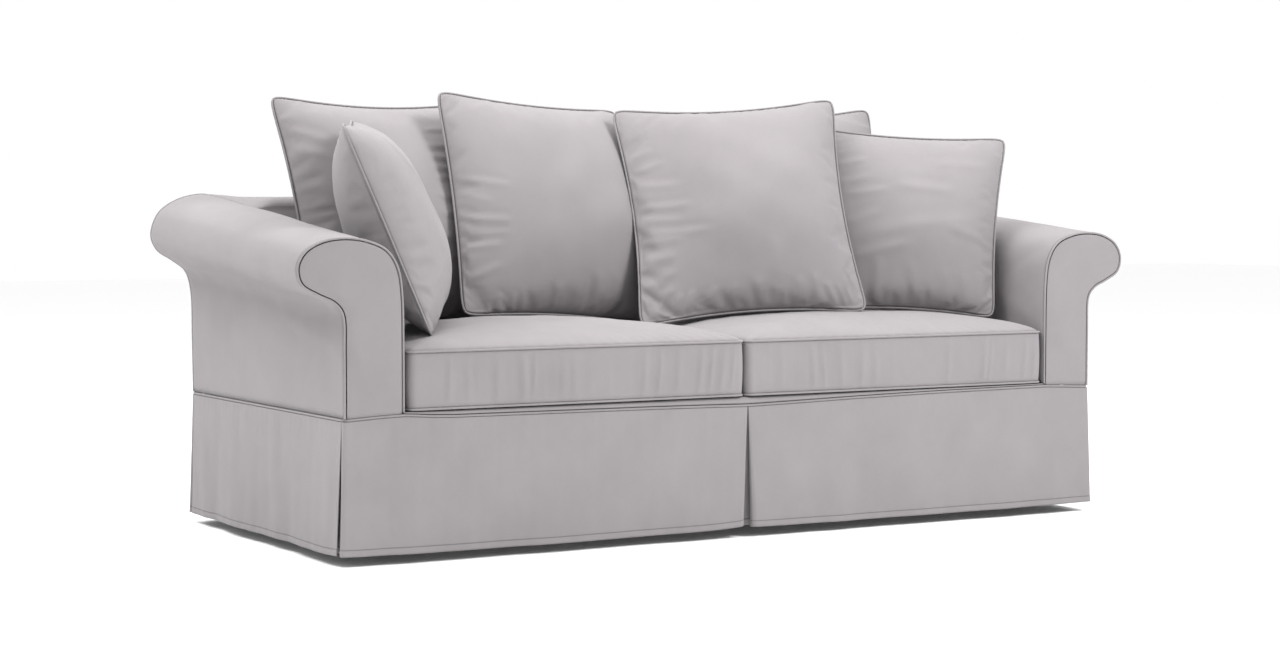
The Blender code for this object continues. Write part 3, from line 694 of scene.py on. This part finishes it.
def seat_deck():
    """Flat cloth whose front edge turns down a quarter round to the seam."""
    x = np.linspace(-DECK_OUT, DECK_OUT, 241)
    low = seam_up(x, -HALF_DEPTH) + PIPING_CLEAR + 0.0010
    roll = np.minimum(DECK_TOP - low, DECK_ROUND)
    turns = [
        np.c_[x, -HALF_DEPTH + roll * (1 - math.cos(angle)), low + (DECK_TOP - low) * math.sin(angle)]
        for angle in np.radians(np.linspace(0, 90, 9))
    ]
    depths = np.r_[-HALF_DEPTH + DECK_ROUND + 0.004, np.linspace(-HALF_DEPTH + 0.03, BACK_FOOT_Y + CLOTH, 26)]
    flat = [np.c_[x, np.full(len(x), y), np.full(len(x), DECK_TOP)] for y in depths]
    sewn_sheet("seat_deck", np.array(turns + flat), COVER)


seat_deck()
back_inside()
back_outside()

# %% [markdown]
# ## The skirt
# Four sides hang from a piped seam; the front has two panels. Their plan is known at the seam and at the hem,
# and the rows between follow a straight hang. Loose folds open towards the hem, the ends curl at the corner
# gaps and at the middle pleat, and a narrow underlay closes each gap behind. The hem is turned up 15 mm and
# stitched.

# %% Skirt tables
HEM_UP = 0.0238
UNDERLAY_SHORT = 0.003
SEAM_OUT = 1.0430
SEAM_CORNER = 0.012
# x and depth at the seam, x and depth at the hem, from the free edge inwards
CORNER_END = (
    (1.0440, 0.4640, 1.0500, 0.4680),
    (1.0440, 0.4700, 1.0545, 0.4735),
    (1.0425, 0.4728, 1.0515, 0.4785),
    (1.0380, 0.4742, 1.0430, 0.4802),
)
PLEAT_END = (
    (0.0012, 0.4737, 0.0105, 0.4680),
    (0.0025, 0.4740, 0.0130, 0.4760),
    (0.0050, 0.4742, 0.0215, 0.4800),
)
SIDE_END = ((1.0440, 0.4625, 1.0545, 0.4545), (1.0440, 0.4400, 1.0550, 0.4320))
CORNER_UNDERLAY = (
    (1.0408, 0.3600, 1.0400, 0.3600),
    (1.0408, 0.4640, 1.0290, 0.4500),
    (1.0385, 0.4690, 1.0260, 0.4540),
    (1.0340, 0.4710, 1.0210, 0.4560),
    (0.9300, 0.4710, 0.9300, 0.4620),
)
PLEAT_UNDERLAY = (
    (-0.0900, 0.4710, -0.0900, 0.4560),
    (0.0, 0.4710, 0.0, 0.4500),
    (0.0900, 0.4710, 0.0900, 0.4560),
)
# Loose folds: distance from the panel's left end in cm, width and depth at the hem in mm
LOOSE_FOLDS = {
    "front_left": ((12, 40, -4), (19, 50, 4), (39, 60, -3), (53, 50, 3), (80, 60, -2)),
    "front_right": ((26, 50, 4), (41, 40, -3), (66, 45, -4), (76, 50, 5), (93, 40, 3)),
    "side_left": ((16, 30, -4), (30, 60, 3), (62, 70, -3)),
    "side_right": ((22, 60, 3), (47, 50, -3), (70, 40, 3)),
    "back": ((35, 70, 3), (90, 80, -3), (140, 70, 4), (180, 50, -3)),
}
# How far the middle of the hem hangs, and how far its left and right ends curl up, in mm
HEMS = {
    "front_left": (3, 3, 6),
    "front_right": (1.5, 1, 1),
    "side_left": (0, 1, 2),
    "side_right": (1, 2, 1),
    "back": (2, 1, 1),
}
# Distances of the rows beside the stitches from the hem
HEM_ROWS = (0, 0.004, 0.008, 0.011, 0.013, 0.0142, 0.015, 0.0158, 0.017, 0.020)


# %% Plans of the skirt's panels
FINE_STEP = 0.0005
CORNER_BLUR = 0.0013
NEAR_END = 0.032


def placed(rows, side, face):
    """Rows of a plan table on one side (-1 left, 1 right) and face (-1 front, 1 back)."""
    return np.array(rows) * (side, face, side, face)


def corner_plan(rows, side, face):
    """A table that runs round a corner, in the order in which it is seen from outside."""
    return placed(rows, side, face)[:: 1 if side * face > 0 else -1]


def fine_plan(rows, step):
    """The plan at even steps of the hem's length, its corners rounded by a bell-shaped mean of 1.3 mm."""
    along = summed(steps(rows[:, 2:]))
    dense = np.linspace(0, along[-1], int(along[-1] / FINE_STEP) + 1)
    lines = np.stack([np.interp(dense, along, column) for column in rows.T])
    weights = np.exp(-((np.arange(-8, 9) * FINE_STEP / CORNER_BLUR) ** 2) / 2)
    padded = np.c_[2 * lines[:, :1] - lines[:, 8:0:-1], lines, 2 * lines[:, -1:] - lines[:, -2:-10:-1]]
    smooth = np.stack([np.convolve(line, weights / weights.sum(), "valid") for line in padded])
    near = np.linspace(0, NEAR_END, 17)
    between = np.arange(NEAR_END, along[-1] - NEAR_END, step)
    at = np.unique(np.round(np.r_[between, near, along[-1] - near], 6))
    return np.stack([np.interp(at, dense, line) for line in smooth], axis=-1), at


def with_straight(first, last, step=0.05):
    """Both ends of a panel, with rows in between every 50 mm."""
    count = int(np.linalg.norm(last[0, 2:] - first[-1, 2:]) / step)
    shares = np.linspace(0, 1, max(count, 2) + 1)[1:-1]
    return np.vstack([first, first[-1] + np.outer(shares, last[0] - first[-1]), last])


# %% Skirt panels
def hem_height(along, label, shorter):
    """Height of the hem: level, lower in the middle by its hang and higher at the ends by their curls."""
    ((hang, curl_left, curl_right),) = metres([HEMS.get(label, (0, 0, 0))], 1000, 1000, 1000)
    length = along[-1]
    return (
        HEM_UP + shorter
        - hang * np.sin(math.pi * along / length)
        + curl_left * np.exp(-along / 0.035)
        + curl_right * np.exp(-(length - along) / 0.035)
    )


def hanging_panel(node, label, rows, step=0.006, shorter=0.0, seed=0):
    """Point = seam + drop * (hem - seam) + swell(along) * drop^1.5 outwards, and the hem's own height."""
    plan, along = fine_plan(rows, step)
    length = along[-1]
    swell = np.zeros(len(along))
    for at, width, depth in metres(LOOSE_FOLDS.get(label, ()), 100, 1000, 1000):
        swell += depth * bell(along - at, width)
    seam = seam_up(plan[:, 0], plan[:, 1]) - PIPING_CLEAR
    low = hem_height(along, label, shorter)
    tall = float((seam - low).mean())
    above = np.unique(np.r_[HEM_ROWS, np.arange(0.025, tall, 0.006 if label else 0.02), tall])
    rows = []
    for height in above:
        drop = 1 - height / tall
        flat = moved_right(plan[:, :2] + (plan[:, 2:] - plan[:, :2]) * drop, swell * drop**1.5)
        rows.append(np.c_[flat, seam + (low - seam) * drop])
    points = np.array(rows)
    across, up = np.meshgrid(along, above)
    drop = 1 - up / tall
    lift = soft_waves(across, up * 0.45, 50 + seed, 0.20, 0.0015) * (0.3 + drop)
    lift += soft_waves(across, up * 0.3, 60 + seed, 0.07, 0.0006)
    pucker = 0.0005 * uneven_wave(across, 0.027, 2.4, 17, seed) * np.exp(-(tall - up) / 0.030)
    ends = smoothstep(across / 0.05) * smoothstep((length - across) / 0.05) * smoothstep((tall - up) / 0.008)
    from_stitch = up - HEM_STITCH
    turned_up = 0.0006 * smoothstep((HEM_STITCH - up) / 0.001) - 0.0005 * bell(from_stitch, 0.0007)
    wobble = 0.0004 * uneven_wave(across, 0.043, 2, 13) * bell(from_stitch, 0.012)
    points = points + outward(points) * ((lift + pucker) * ends + turned_up + wobble)[..., None]
    uv = np.stack([across, up], axis=-1)
    sewn_sheet(node, points, SKIRT, uv, ("high",))


def front_skirt(side, label, seed):
    """From a corner's return to the middle pleat's return."""
    corner = corner_plan(CORNER_END, side, -1)
    pleat = placed(PLEAT_END, side, -1)[::side]
    first, last = (corner, pleat) if side < 0 else (pleat, corner)
    hanging_panel("skirt_" + label, label, with_straight(first, last), seed=seed)


def side_skirt(side, label, seed):
    """Along one side, from corner gap to corner gap."""
    ends = placed(SIDE_END, side, -side), placed(SIDE_END, side, side)[::-1]
    hanging_panel("skirt_" + label, label, with_straight(*ends), seed=seed)


# %% The skirt, piece by piece
front_skirt(-1, "front_left", 1)
front_skirt(1, "front_right", 2)
side_skirt(-1, "side_left", 3)
side_skirt(1, "side_right", 4)
back_plan = with_straight(corner_plan(CORNER_END, 1, 1), corner_plan(CORNER_END, -1, 1))
hanging_panel("skirt_back", "back", back_plan, 0.009, seed=5)
for side, x_label in ((-1, "left"), (1, "right")):
    for face, y_label in ((-1, "front"), (1, "back")):
        plan = corner_plan(CORNER_UNDERLAY, side, face)
        hanging_panel(f"underlay_{y_label}_{x_label}", "", plan, 0.008, UNDERLAY_SHORT)
hanging_panel("underlay_front_middle", "", placed(PLEAT_UNDERLAY, 1, -1), 0.008, UNDERLAY_SHORT)


# %% The skirt's piping
def rounded_rectangle(half_x, half_y, radius, per_corner, per_x, per_y):
    """Closed outline, counter-clockwise: quarter circles at the corners and evenly divided sides."""
    points = []
    for corner, (sign_x, sign_y) in enumerate(((1, -1), (1, 1), (-1, 1), (-1, -1))):
        middle = np.array((sign_x * (half_x - radius), sign_y * (half_y - radius)))
        turn = math.radians(90 * corner - 90)
        angles = np.linspace(turn, turn + math.pi / 2, per_corner + 1)
        points.append(middle + radius * np.c_[np.cos(angles), np.sin(angles)])
        straight = 2 * ((half_y if corner % 2 == 0 else half_x) - radius)
        pieces = per_y if corner % 2 == 0 else per_x
        heading = np.array((-math.sin(turn + math.pi / 2), math.cos(turn + math.pi / 2)))
        points.append(points[-1][-1] + heading * straight * np.arange(1, pieces)[:, None] / pieces)
    return np.vstack(points)


ring = rounded_rectangle(SEAM_OUT, PIPING_DEPTH, SEAM_CORNER, 6, 300, 140)
piping("skirt_piping", np.c_[ring, seam_up(ring[:, 0], ring[:, 1])], (0, 0, 1), closed=True)

# %% [markdown]
# ## Seat cushions
# A boxed cushion has a top and an underside joined by an upright strip, with piping in both seams. The
# surface is a stack of closed rings: flat underneath, a strip that swells a little, and a crown that rises
# steeply at the edge and is nearly level in the middle. The strip puckers where it is sewn.

# %% Seat cushion tables
SEAT_X = {"left": (-0.8852, -0.0097), "right": (-0.0013, 0.8900)}
SEAT_Y = (-0.4735, 0.1560)
SEAT_LOW = 0.3412
SEAT_HIGH = 0.4690
SEAT_CORNER_ROUND = 0.018
SEAT_CROWN = 0.054
SEAM_IN = 0.0034  # the seams lie this far inside the cushion's outline
SEAM_HALF = 0.0015  # half the height of the groove that the piping fills
STRIP_IN = 0.0045  # the strip is free from this distance off its seams
STRIP_SWELL = 0.0026
UNDERSIDE_RIM = 0.3375
SEAT_COLUMNS = (8, 170, 66)  # round each corner, along the front, along a side
# Folds of the front strip where it was eased into its seams: x in cm; width, height and lean in mm
STRIP_FOLDS = {
    "left": (
        (-79, 8, 4.5, 4), (-74, 10, 3.5, -6), (-67, 8, 4, 4), (-60, 9, 7, -4), (-58, 5, 4, 8),
        (-50, 11, 4, 6), (-47, 8, 3.5, 0), (-29, 9, 4.5, 8), (-25, 6, 5.5, 10), (-20, 10, 4, 12),
        (-14, 8, 6.5, 14), (-11, 6, 5.5, 14), (-8, 9, 6, 16), (-5, 6, 4, 12),
    ),
    "right": (
        (9, 10, 3.5, 4), (19, 8, 4.5, -10), (22, 6, 5.5, -8), (27, 10, 6, -6), (33, 8, 4.5, 2),
        (37, 11, 3.5, 0), (59, 9, 4.5, 6), (70, 8, 6.5, 10), (72, 5, 4, 10), (77, 10, 4.5, 8),
        (83, 7, 6, 10), (86, 6, 4.5, 8),
    ),
}


def ease_strip(strip, middle, half, step, label, seed):
    """Moves the strip outwards by its gathers and, at the front, by its folds; both fade at the seams."""
    share_up = np.linspace(0, 1, len(strip))[:, None]
    gather = 0.0005 * uneven_wave(step, 0.052, 3, 7, seed)
    gather += 0.0003 * uneven_wave(step, 0.023, 2, 13, seed)
    strength = 0.25 + 0.75 * smoothstep((np.sin(step * 5.3 + seed) + 0.7) / 1.2)
    profile = np.sin(math.pi * share_up) ** 0.5 * (1 - 0.45 * share_up)
    out = strip - np.r_[middle, 0]
    out[..., 2] = 0
    square = np.abs(out) / np.array((*half, 1))
    facing = np.where(square[..., :1] > square[..., 1:2], [[[1.0, 0, 0]]], [[[0, 1.0, 0]]])
    facing = facing * np.sign(out + 1e-9)
    at_front = facing[..., 1] < 0
    eased = gather * strength
    for at, width, height, lean in metres(STRIP_FOLDS[label], 100, 1000, 1000, 1000):
        eased = eased + height * bell(strip[..., 0] - at - lean * share_up, width) * at_front
    strip += facing * (eased * profile)[..., None]


def wave_crown(top, middle, half, step, seed):
    """Adds to the top's heights: broad and small waves that die out at the seam, and puckers beside it."""
    across, up = top[..., 0], top[..., 1]
    lift = soft_waves(across, up, 70 + seed, 0.22, 0.0016) + soft_waves(across, up, 80 + seed, 0.07, 0.0004)
    inwards = np.minimum(half[0] - np.abs(across - middle[0]), half[1] - np.abs(up - middle[1]))
    top[..., 2] += lift * smoothstep(inwards / 0.06)
    pucker = 0.0009 * uneven_wave(step, 0.034, 2.5, 9, seed) * np.exp(-inwards / 0.02)
    top[..., 2] += pucker * smoothstep(inwards / 0.008)


# %% Seat cushion
def seat_cushion(label, seed):
    """Rings from the underside's middle to the top's: outline scaled by a share, at a height of its own."""
    x_low, x_high = SEAT_X[label]
    y_low, y_high = SEAT_Y
    middle = np.array(((x_low + x_high) / 2, (y_low + y_high) / 2))
    half = ((x_high - x_low) / 2, (y_high - y_low) / 2)

    def outline(inset):
        sizes = (half[0] - inset, half[1] - inset, SEAT_CORNER_ROUND - inset)
        return middle + rounded_rectangle(*sizes, *SEAT_COLUMNS)

    edge = outline(SEAM_IN)
    count = len(edge)
    rings = []

    def ring_at(flat, up):
        rings.append(np.c_[flat, np.broadcast_to(up, count)])

    for share in (0.05, 0.3, 0.6, 0.86):
        ring_at((edge - middle) * share + middle, DECK_TOP + GAP)
    ring_at((edge - middle) * 0.96 + middle, UNDERSIDE_RIM)
    ring_at(edge, SEAT_LOW - SEAM_HALF)
    ring_at(edge, SEAT_LOW + SEAM_HALF)
    first_strip = len(rings)
    for share in np.linspace(0, 1, 17):
        swell = STRIP_SWELL * (1 - (2 * share - 1) ** 2)
        ring_at(outline(0.0002 - swell), SEAT_LOW + STRIP_IN + (SEAT_HIGH - SEAT_LOW - 2 * STRIP_IN) * share)
    last_strip = len(rings)
    ring_at(edge, SEAT_HIGH - SEAM_HALF)
    ring_at(edge, SEAT_HIGH + SEAM_HALF)
    first_top = len(rings)
    for share in 1 - np.linspace(0, 0.99, 40)[1:] ** 1.35:
        rise = SEAT_CROWN * (1 - share**2.2) ** 0.62
        ring_at((edge - middle) * share + middle, SEAT_HIGH + SEAM_HALF + rise)
    points = np.array(rings)
    step = summed(steps(edge))
    ease_strip(points[first_strip:last_strip], middle, half, step, label, seed)
    top = points[first_top:]
    wave_crown(top, middle, half, step, seed)
    points = points.reshape(-1, 3)
    poles = np.array([[*middle, DECK_TOP + GAP], [*middle, top[-1, :, 2].mean()]])
    index = np.arange(len(points)).reshape(-1, count)
    after = np.roll(index, -1, axis=1)
    faces = np.stack((index[:-1], after[:-1], after[1:], index[1:]), axis=-1).reshape(-1, 4).tolist()
    low_pole, high_pole = len(points), len(points) + 1
    faces += np.c_[after[0], index[0], np.full(count, low_pole)].tolist()
    faces += np.c_[index[-1], after[-1], np.full(count, high_pole)].tolist()
    points = np.vstack([points, poles])
    uv = points[:, :2] + np.c_[points[:, 2], points[:, 2]]
    on_strip = slice(first_strip * count, last_strip * count)
    round_up = np.broadcast_arrays(step, points[on_strip, 2].reshape(-1, count))
    uv[on_strip] = np.stack(round_up, axis=-1).reshape(-1, 2)
    climb = summed(steps(points[:-2].reshape(-1, count, 3)).mean(1))
    sewn = climb[[first_strip - 1, last_strip]]
    seam = np.r_[np.repeat(np.abs(climb[:, None] - sewn).min(1), count), 0.1, 0.1]
    node = "seat_cushion_" + label
    piece = add_surface(node + "_filled", points, faces, uv, seam, CUSHION, node)
    path = outline(0)
    for edge_name, up in (("top", SEAT_HIGH), ("bottom", SEAT_LOW)):
        piping(f"{node}_piping_{edge_name}", np.c_[path, np.full(len(path), up)], (0, 0, 1), closed=True)


seat_cushion("left", 1)
seat_cushion("right", 2)

# %% [markdown]
# ## Loose cushions
# Two squares are sewn together face to face and stuffed. Stuffing pulls the middles of the sides in and
# leaves the corners as ears. Each face is a grid whose height is a crown, largest in the middle. The front is
# squarer on the sides where the filling has been pushed, thinner where it sank, and has one soft bulge.

# %% Loose cushion tables
LOOSE = (
    # name                    size  thick   pull  taper       x        y       up   yaw  lean  roll
    ("back_cushion_1", 0.5700, 0.185, 0.075, 0.045, -0.6366, 0.1834, 0.7736, -12.0, 14.5, -0.5),
    ("back_cushion_2", 0.5654, 0.200, 0.050, 0.000, -0.2375, 0.1226, 0.7823, -10.3, 16.2, -3.9),
    ("back_cushion_3", 0.5839, 0.200, 0.080, 0.000, 0.2369, -0.0561, 0.7798, 20.0, 22.2, 3.5),
    ("back_cushion_4", 0.5657, 0.185, 0.080, 0.000, 0.5785, 0.1959, 0.7698, 4.0, 14.5, 2.4),
    ("small_cushion_left", 0.5056, 0.205, 0.060, 0.000, -0.7847, -0.1512, 0.7493, -63.0, 22.4, 3.1),
    ("small_cushion_right", 0.4782, 0.165, 0.060, 0.060, 0.6893, -0.1700, 0.7471, 26.0, 15.0, -3.2),
)
EAR_POWER = 14
EAR_ROUND = 1 / (2 * EAR_POWER + 1)
FULLNESS = 0.58
RIM_HALF = 0.0010
LOOSE_CELLS = 92
# How the filling lies behind each front: how full it stays towards the left, right, low and high sides (2 is
# an even dome, more is squarer), the bulge's u, v, reach and height, and the shares lost at the left and low
FRONTS = {
    "back_cushion_1": ((2.0, 3.4, 3.0, 2.0), (0.25, 0.00, 0.50, 0.018), (0.00, 0.00)),
    "back_cushion_2": ((2.0, 6.0, 3.0, 2.2), (0.65, -0.25, 0.60, 0.020), (0.15, 0.15)),
    "back_cushion_3": ((2.0, 2.8, 2.2, 2.1), (0.35, 0.00, 0.50, 0.010), (0.45, 0.25)),
    "back_cushion_4": ((2.0, 2.0, 2.0, 2.0), (0.00, 0.00, 0.50, 0.000), (0.00, 0.00)),
    "small_cushion_left": ((2.2, 2.8, 2.6, 2.8), (0.10, -0.40, 0.50, 0.004), (0.00, 0.00)),
    "small_cushion_right": ((2.0, 2.4, 2.0, 2.1), (0.20, 0.10, 0.50, 0.008), (0.40, 0.20)),
}
# Folds laid on the front, from the cushion's middle: start (across, up) and end in cm, width and
# height in mm
LAID_FOLDS = {
    "back_cushion_1": (
        (22, 21, 10, 21, 8, 2), (20, 16, 9, 16, 8, 2), (18, 12, 9, 13, 8, 2), (17, 9, 9, 10, 8, 2),
        (17, 7, 9, 7, 7, 2), (16, 1, 8, 2, 8, 2), (15, -3, 8, -3, 8, 2), (15, -9, 8, -9, 8, 2),
        (16, -14, 9, -14, 8, 2), (-28, 20, -19, 17, 12, 1.5), (-28, 15, -20, 13, 12, 1.5),
    ),
    "back_cushion_2": (
        (-27, 5, -16, 3, 9, 2), (-27, 1, -21, -1, 8, 1.5), (-27, -5, -17, -6, 9, 2.5),
        (-27, -9, -17, -9, 8, 1.5), (-27, -12, -19, -12, 9, 2), (-27, -20, -19, -17, 11, 2),
        (-19, -29, -19, -24, 8, 2.5), (-15, -28, -15, -24, 8, 2.5), (-12, -28, -13, -23, 9, 2),
        (-3, -28, -3, -22, 12, 2), (4, -28, 3, -23, 12, 1.5), (10, -27, 9, -19, 14, 2.5),
        (17, -27, 15, -19, 14, 1.5),
    ),
    "back_cushion_3": (
        (-27, 15, -22, 17, 8, 2), (-27, 11, -20, 13, 9, 2), (-27, 7, -17, 6, 10, 2),
        (-28, 1, -15, 0, 9, 2.5), (-28, -2, -17, -4, 9, 1.5), (-27, -6, -11, -8, 9, 2.5),
        (-28, -8, -17, -9, 9, 2), (-28, -13, -20, -13, 12, 2), (-28, -20, -20, -17, 13, 2.5),
        (-26, -28, -21, -21, 12, 3.5), (-20, -28, -19, -23, 9, 2.5), (-17, -28, -16, -23, 8, 2.5),
        (-11, -28, -10, -23, 11, 2.5), (-6, -28, -5, -23, 12, 1.5), (1, -28, 1, -22, 12, 1.5),
        (6, -22, 6, -12, 20, 2), (12, -28, 12, -22, 12, 2.5), (17, -28, 16, -21, 10, 2.5),
        (21, -28, 19, -23, 9, 3.5), (24, -28, 22, -23, 8, 2.5), (26, -28, 24, -22, 8, 2),
        (29, -25, 26, -19, 9, 2),
    ),
    "back_cushion_4": (
        (26, 10, 12, 12, 12, 2),
    ),
    "small_cushion_left": (
        (-10, 22, -3, 5, 14, 2), (22, -10, 8, -6, 13, 2), (2, 24, 3, 12, 11, 2),
        (-22, -16, -10, -12, 12, 1.5),
    ),
    "small_cushion_right": (
        (-19, 14, -12, 16, 9, 2), (-19, 9, -11, 11, 9, 1.5), (-17, 6, -7, 7, 10, 2),
        (-4, 8, 10, 7, 14, 2.5), (-17, -2, -9, 1, 12, 1.5), (-11, -5, 18, 0, 18, 1.5),
        (-16, -11, -1, -8, 14, 2), (5, 15, 20, 15, 14, 1.5), (-9, -23, -9, -12, 14, 2),
        (2, -23, 0, -13, 15, 2), (11, -23, 9, -14, 15, 1.5), (16, -23, 15, -15, 13, 2),
        (20, -5, 10, -3, 12, 2),
    ),
}


def loose_frame(yaw, lean, roll):
    """Unit vectors of a loose cushion: to its right, up along its face, and out of its front."""
    yaw, lean, roll = (math.radians(angle) for angle in (yaw, lean, roll))
    across = np.array((math.cos(yaw), -math.sin(yaw), 0))
    back = np.array((math.sin(yaw), math.cos(yaw), 0))
    rise = np.array((0, 0, math.cos(lean))) + back * math.sin(lean)
    right = across * math.cos(roll) + rise * math.sin(roll)
    up = rise * math.cos(roll) - across * math.sin(roll)
    return right, up, np.cross(right, up)


def loose_outline(u, v, size, pull, taper):
    """(across, up) of the seam plane: sides drawn in by pull * (1 - v^2), ears blunted by a high power."""
    ear = (1 - EAR_ROUND * np.abs(u * v) ** EAR_POWER) / (1 - EAR_ROUND)
    across = u * (1 - pull * (1 - v**2)) * ear * (1 + taper * v)
    up = v * (1 - pull * (1 - u**2)) * ear
    return np.stack([across, up], axis=-1) * (size / 2 - PIPING - PIPING_CLEAR)


# %% [markdown]
# ### Stuffing by simulation
# Where a stuffed cloth is held short by its seam, the spare width buckles into small folds that nobody could
# draw as evenly uneven as they come. So each cushion goes through Blender's Cloth: the cloth is taken a few
# per cent larger than it lies, the seam is held, gravity is off, and a soft pressure presses outwards for 20
# frames. What moved is read back, kept within a few millimetres, and only the plain mesh stays.

# %% Cloth run
FRAMES = 20
SPARE = 0.045
LARGEST_MOVE = 0.007


def stuffed(points, faces, held, spare, cap):
    """Points after 20 frames of Cloth; a move of length m is kept to cap * tanh(m / cap)."""
    mesh = bpy.data.meshes.new("stuffing")
    mesh.from_pydata(points, [], faces)
    body = bpy.data.objects.new("stuffing", mesh)
    bpy.context.scene.collection.objects.link(body)
    body.vertex_groups.new(name="seam").add(held.tolist(), 1.0, "REPLACE")
    run = body.modifiers.new("stuffing", "CLOTH")
    run.point_cache.frame_end = FRAMES
    cloth = run.settings
    cloth.quality = 5
    cloth.mass = 0.3
    cloth.tension_stiffness = 20
    cloth.compression_stiffness = 20
    cloth.shear_stiffness = 8
    cloth.bending_stiffness = 0.04
    cloth.air_damping = 2
    cloth.use_pressure = True
    cloth.uniform_pressure_force = 4
    cloth.effector_weights.gravity = 0
    cloth.vertex_group_mass = "seam"
    cloth.shrink_min = -spare
    for moment in range(1, FRAMES + 1):
        bpy.context.scene.frame_set(moment)
    settled = np.zeros(len(points) * 3, np.float32)
    shape = body.evaluated_get(bpy.context.evaluated_depsgraph_get()).data
    shape.vertices.foreach_get("co", settled)
    bpy.data.objects.remove(body)
    bpy.context.scene.frame_set(1)
    move = settled.reshape(-1, 3) - points
    length = np.linalg.norm(move, axis=1, keepdims=True) + 1e-9
    print(f"  cloth moved {length.mean() * 1000:.1f} mm on average, {length.max() * 1000:.1f} mm at most")
    return points + move * (cap * np.tanh(length / cap) / length)


# %% Fronts and backs of the loose cushions
def loose_front(number, name, u, v, size, thick, inwards):
    """thick/2 * ((1 - |u|^a)(1 - |v|^b))^0.58, less where the filling sank, + bulge + waves + folds."""
    (left, right, low, high), (at_u, at_v, reach, height), (sunk_left, sunk_low) = FRONTS[name]
    edge = (1 - u**2) * (1 - v**2)
    square = (1 - np.abs(u) ** np.where(u < 0, left, right)) * (1 - np.abs(v) ** np.where(v < 0, low, high))
    thinner = 1 - sunk_left * smoothstep((-u - 0.05) / 0.75)
    thinner = thinner * (1 - sunk_low * smoothstep((-v - 0.05) / 0.75))
    front = thick / 2 * square**FULLNESS * thinner
    front += height * np.exp(-((u - at_u) ** 2 + (v - at_v) ** 2) / reach**2) * edge**0.2
    across, up = u * size / 2, v * size / 2
    uneven = soft_waves(across, up, 100 + number, 0.16, 0.0018)
    table = metres(LAID_FOLDS[name], 100, 100, 100, 100, 1000, 1000)
    laid = creases(across, up, table) * smoothstep(inwards / 0.012)
    return front + (uneven * edge + laid + RIM_HALF)


def loose_back(number, u, v, size, thick):
    """An even dome backwards, -thick/2 * ((1 - u^2)(1 - v^2))^0.58, with waves."""
    edge = (1 - u**2) * (1 - v**2)
    uneven = soft_waves(u * size / 2, v * size / 2, 120 + number, 0.16, 0.0018)
    return -(thick / 2 * edge**FULLNESS) - uneven * edge - RIM_HALF


# %% Loose cushions
def loose_cushion(number, name, size, thick, pull, taper, x, y, up, yaw, lean, roll):
    """Two crowned faces on one outline that meet in a 2 mm rim, puffed by the Cloth run and piped."""
    axes = np.array(loose_frame(yaw, lean, roll))
    middle = np.array((x, y, up))
    count = LOOSE_CELLS + 1
    angle = np.linspace(-math.pi / 2, math.pi / 2, count)
    line = 0.55 * np.sin(angle) + 0.45 * angle / (math.pi / 2)
    u, v = np.meshgrid(line, line)
    flat = loose_outline(u, v, size, pull, taper)
    inwards = np.minimum(1 - np.abs(u), 1 - np.abs(v)) * size / 2
    front = loose_front(number, name, u, v, size, thick, inwards)
    back = loose_back(number, u, v, size, thick)
    points = np.vstack([np.dstack([flat, front]).reshape(-1, 3), np.dstack([flat, back]).reshape(-1, 3)])
    index = np.arange(count * count).reshape(count, count)
    border = np.r_[index[0], index[1:, -1], index[-1, -2::-1], index[-2:0:-1, 0]]
    faces = grid_quads(count, count)
    rim = np.stack([border, border + count**2, np.roll(border, -1) + count**2, np.roll(border, -1)], axis=-1)
    faces = np.vstack([faces, faces[:, ::-1] + count**2, rim])
    puffed = stuffed(points, faces, np.r_[border, border + count**2], SPARE, LARGEST_MOVE)
    share = 0.35 + 0.40 * smoothstep((0.7 - v) / 1.2)
    points += (puffed - points) * np.tile(share.ravel(), 2)[:, None]
    uv = np.vstack([flat.reshape(-1, 2), flat.reshape(-1, 2) + (0, 1)])
    seam = np.tile(inwards.ravel(), 2)
    piece = add_surface(name + "_filled", middle + points @ axes, faces, uv, seam, CUSHION, name)
    sewn = moved_right(flat.reshape(-1, 2)[border], PIPING_CLEAR, closed=True)
    piping(name + "_piping", middle + np.c_[sewn, np.zeros(len(sewn))] @ axes, axes[2], closed=True)
    print(f"{name}: {size:.3f} m square, {len(faces)} quads")


for number, row in enumerate(LOOSE):
    loose_cushion(number, *row)
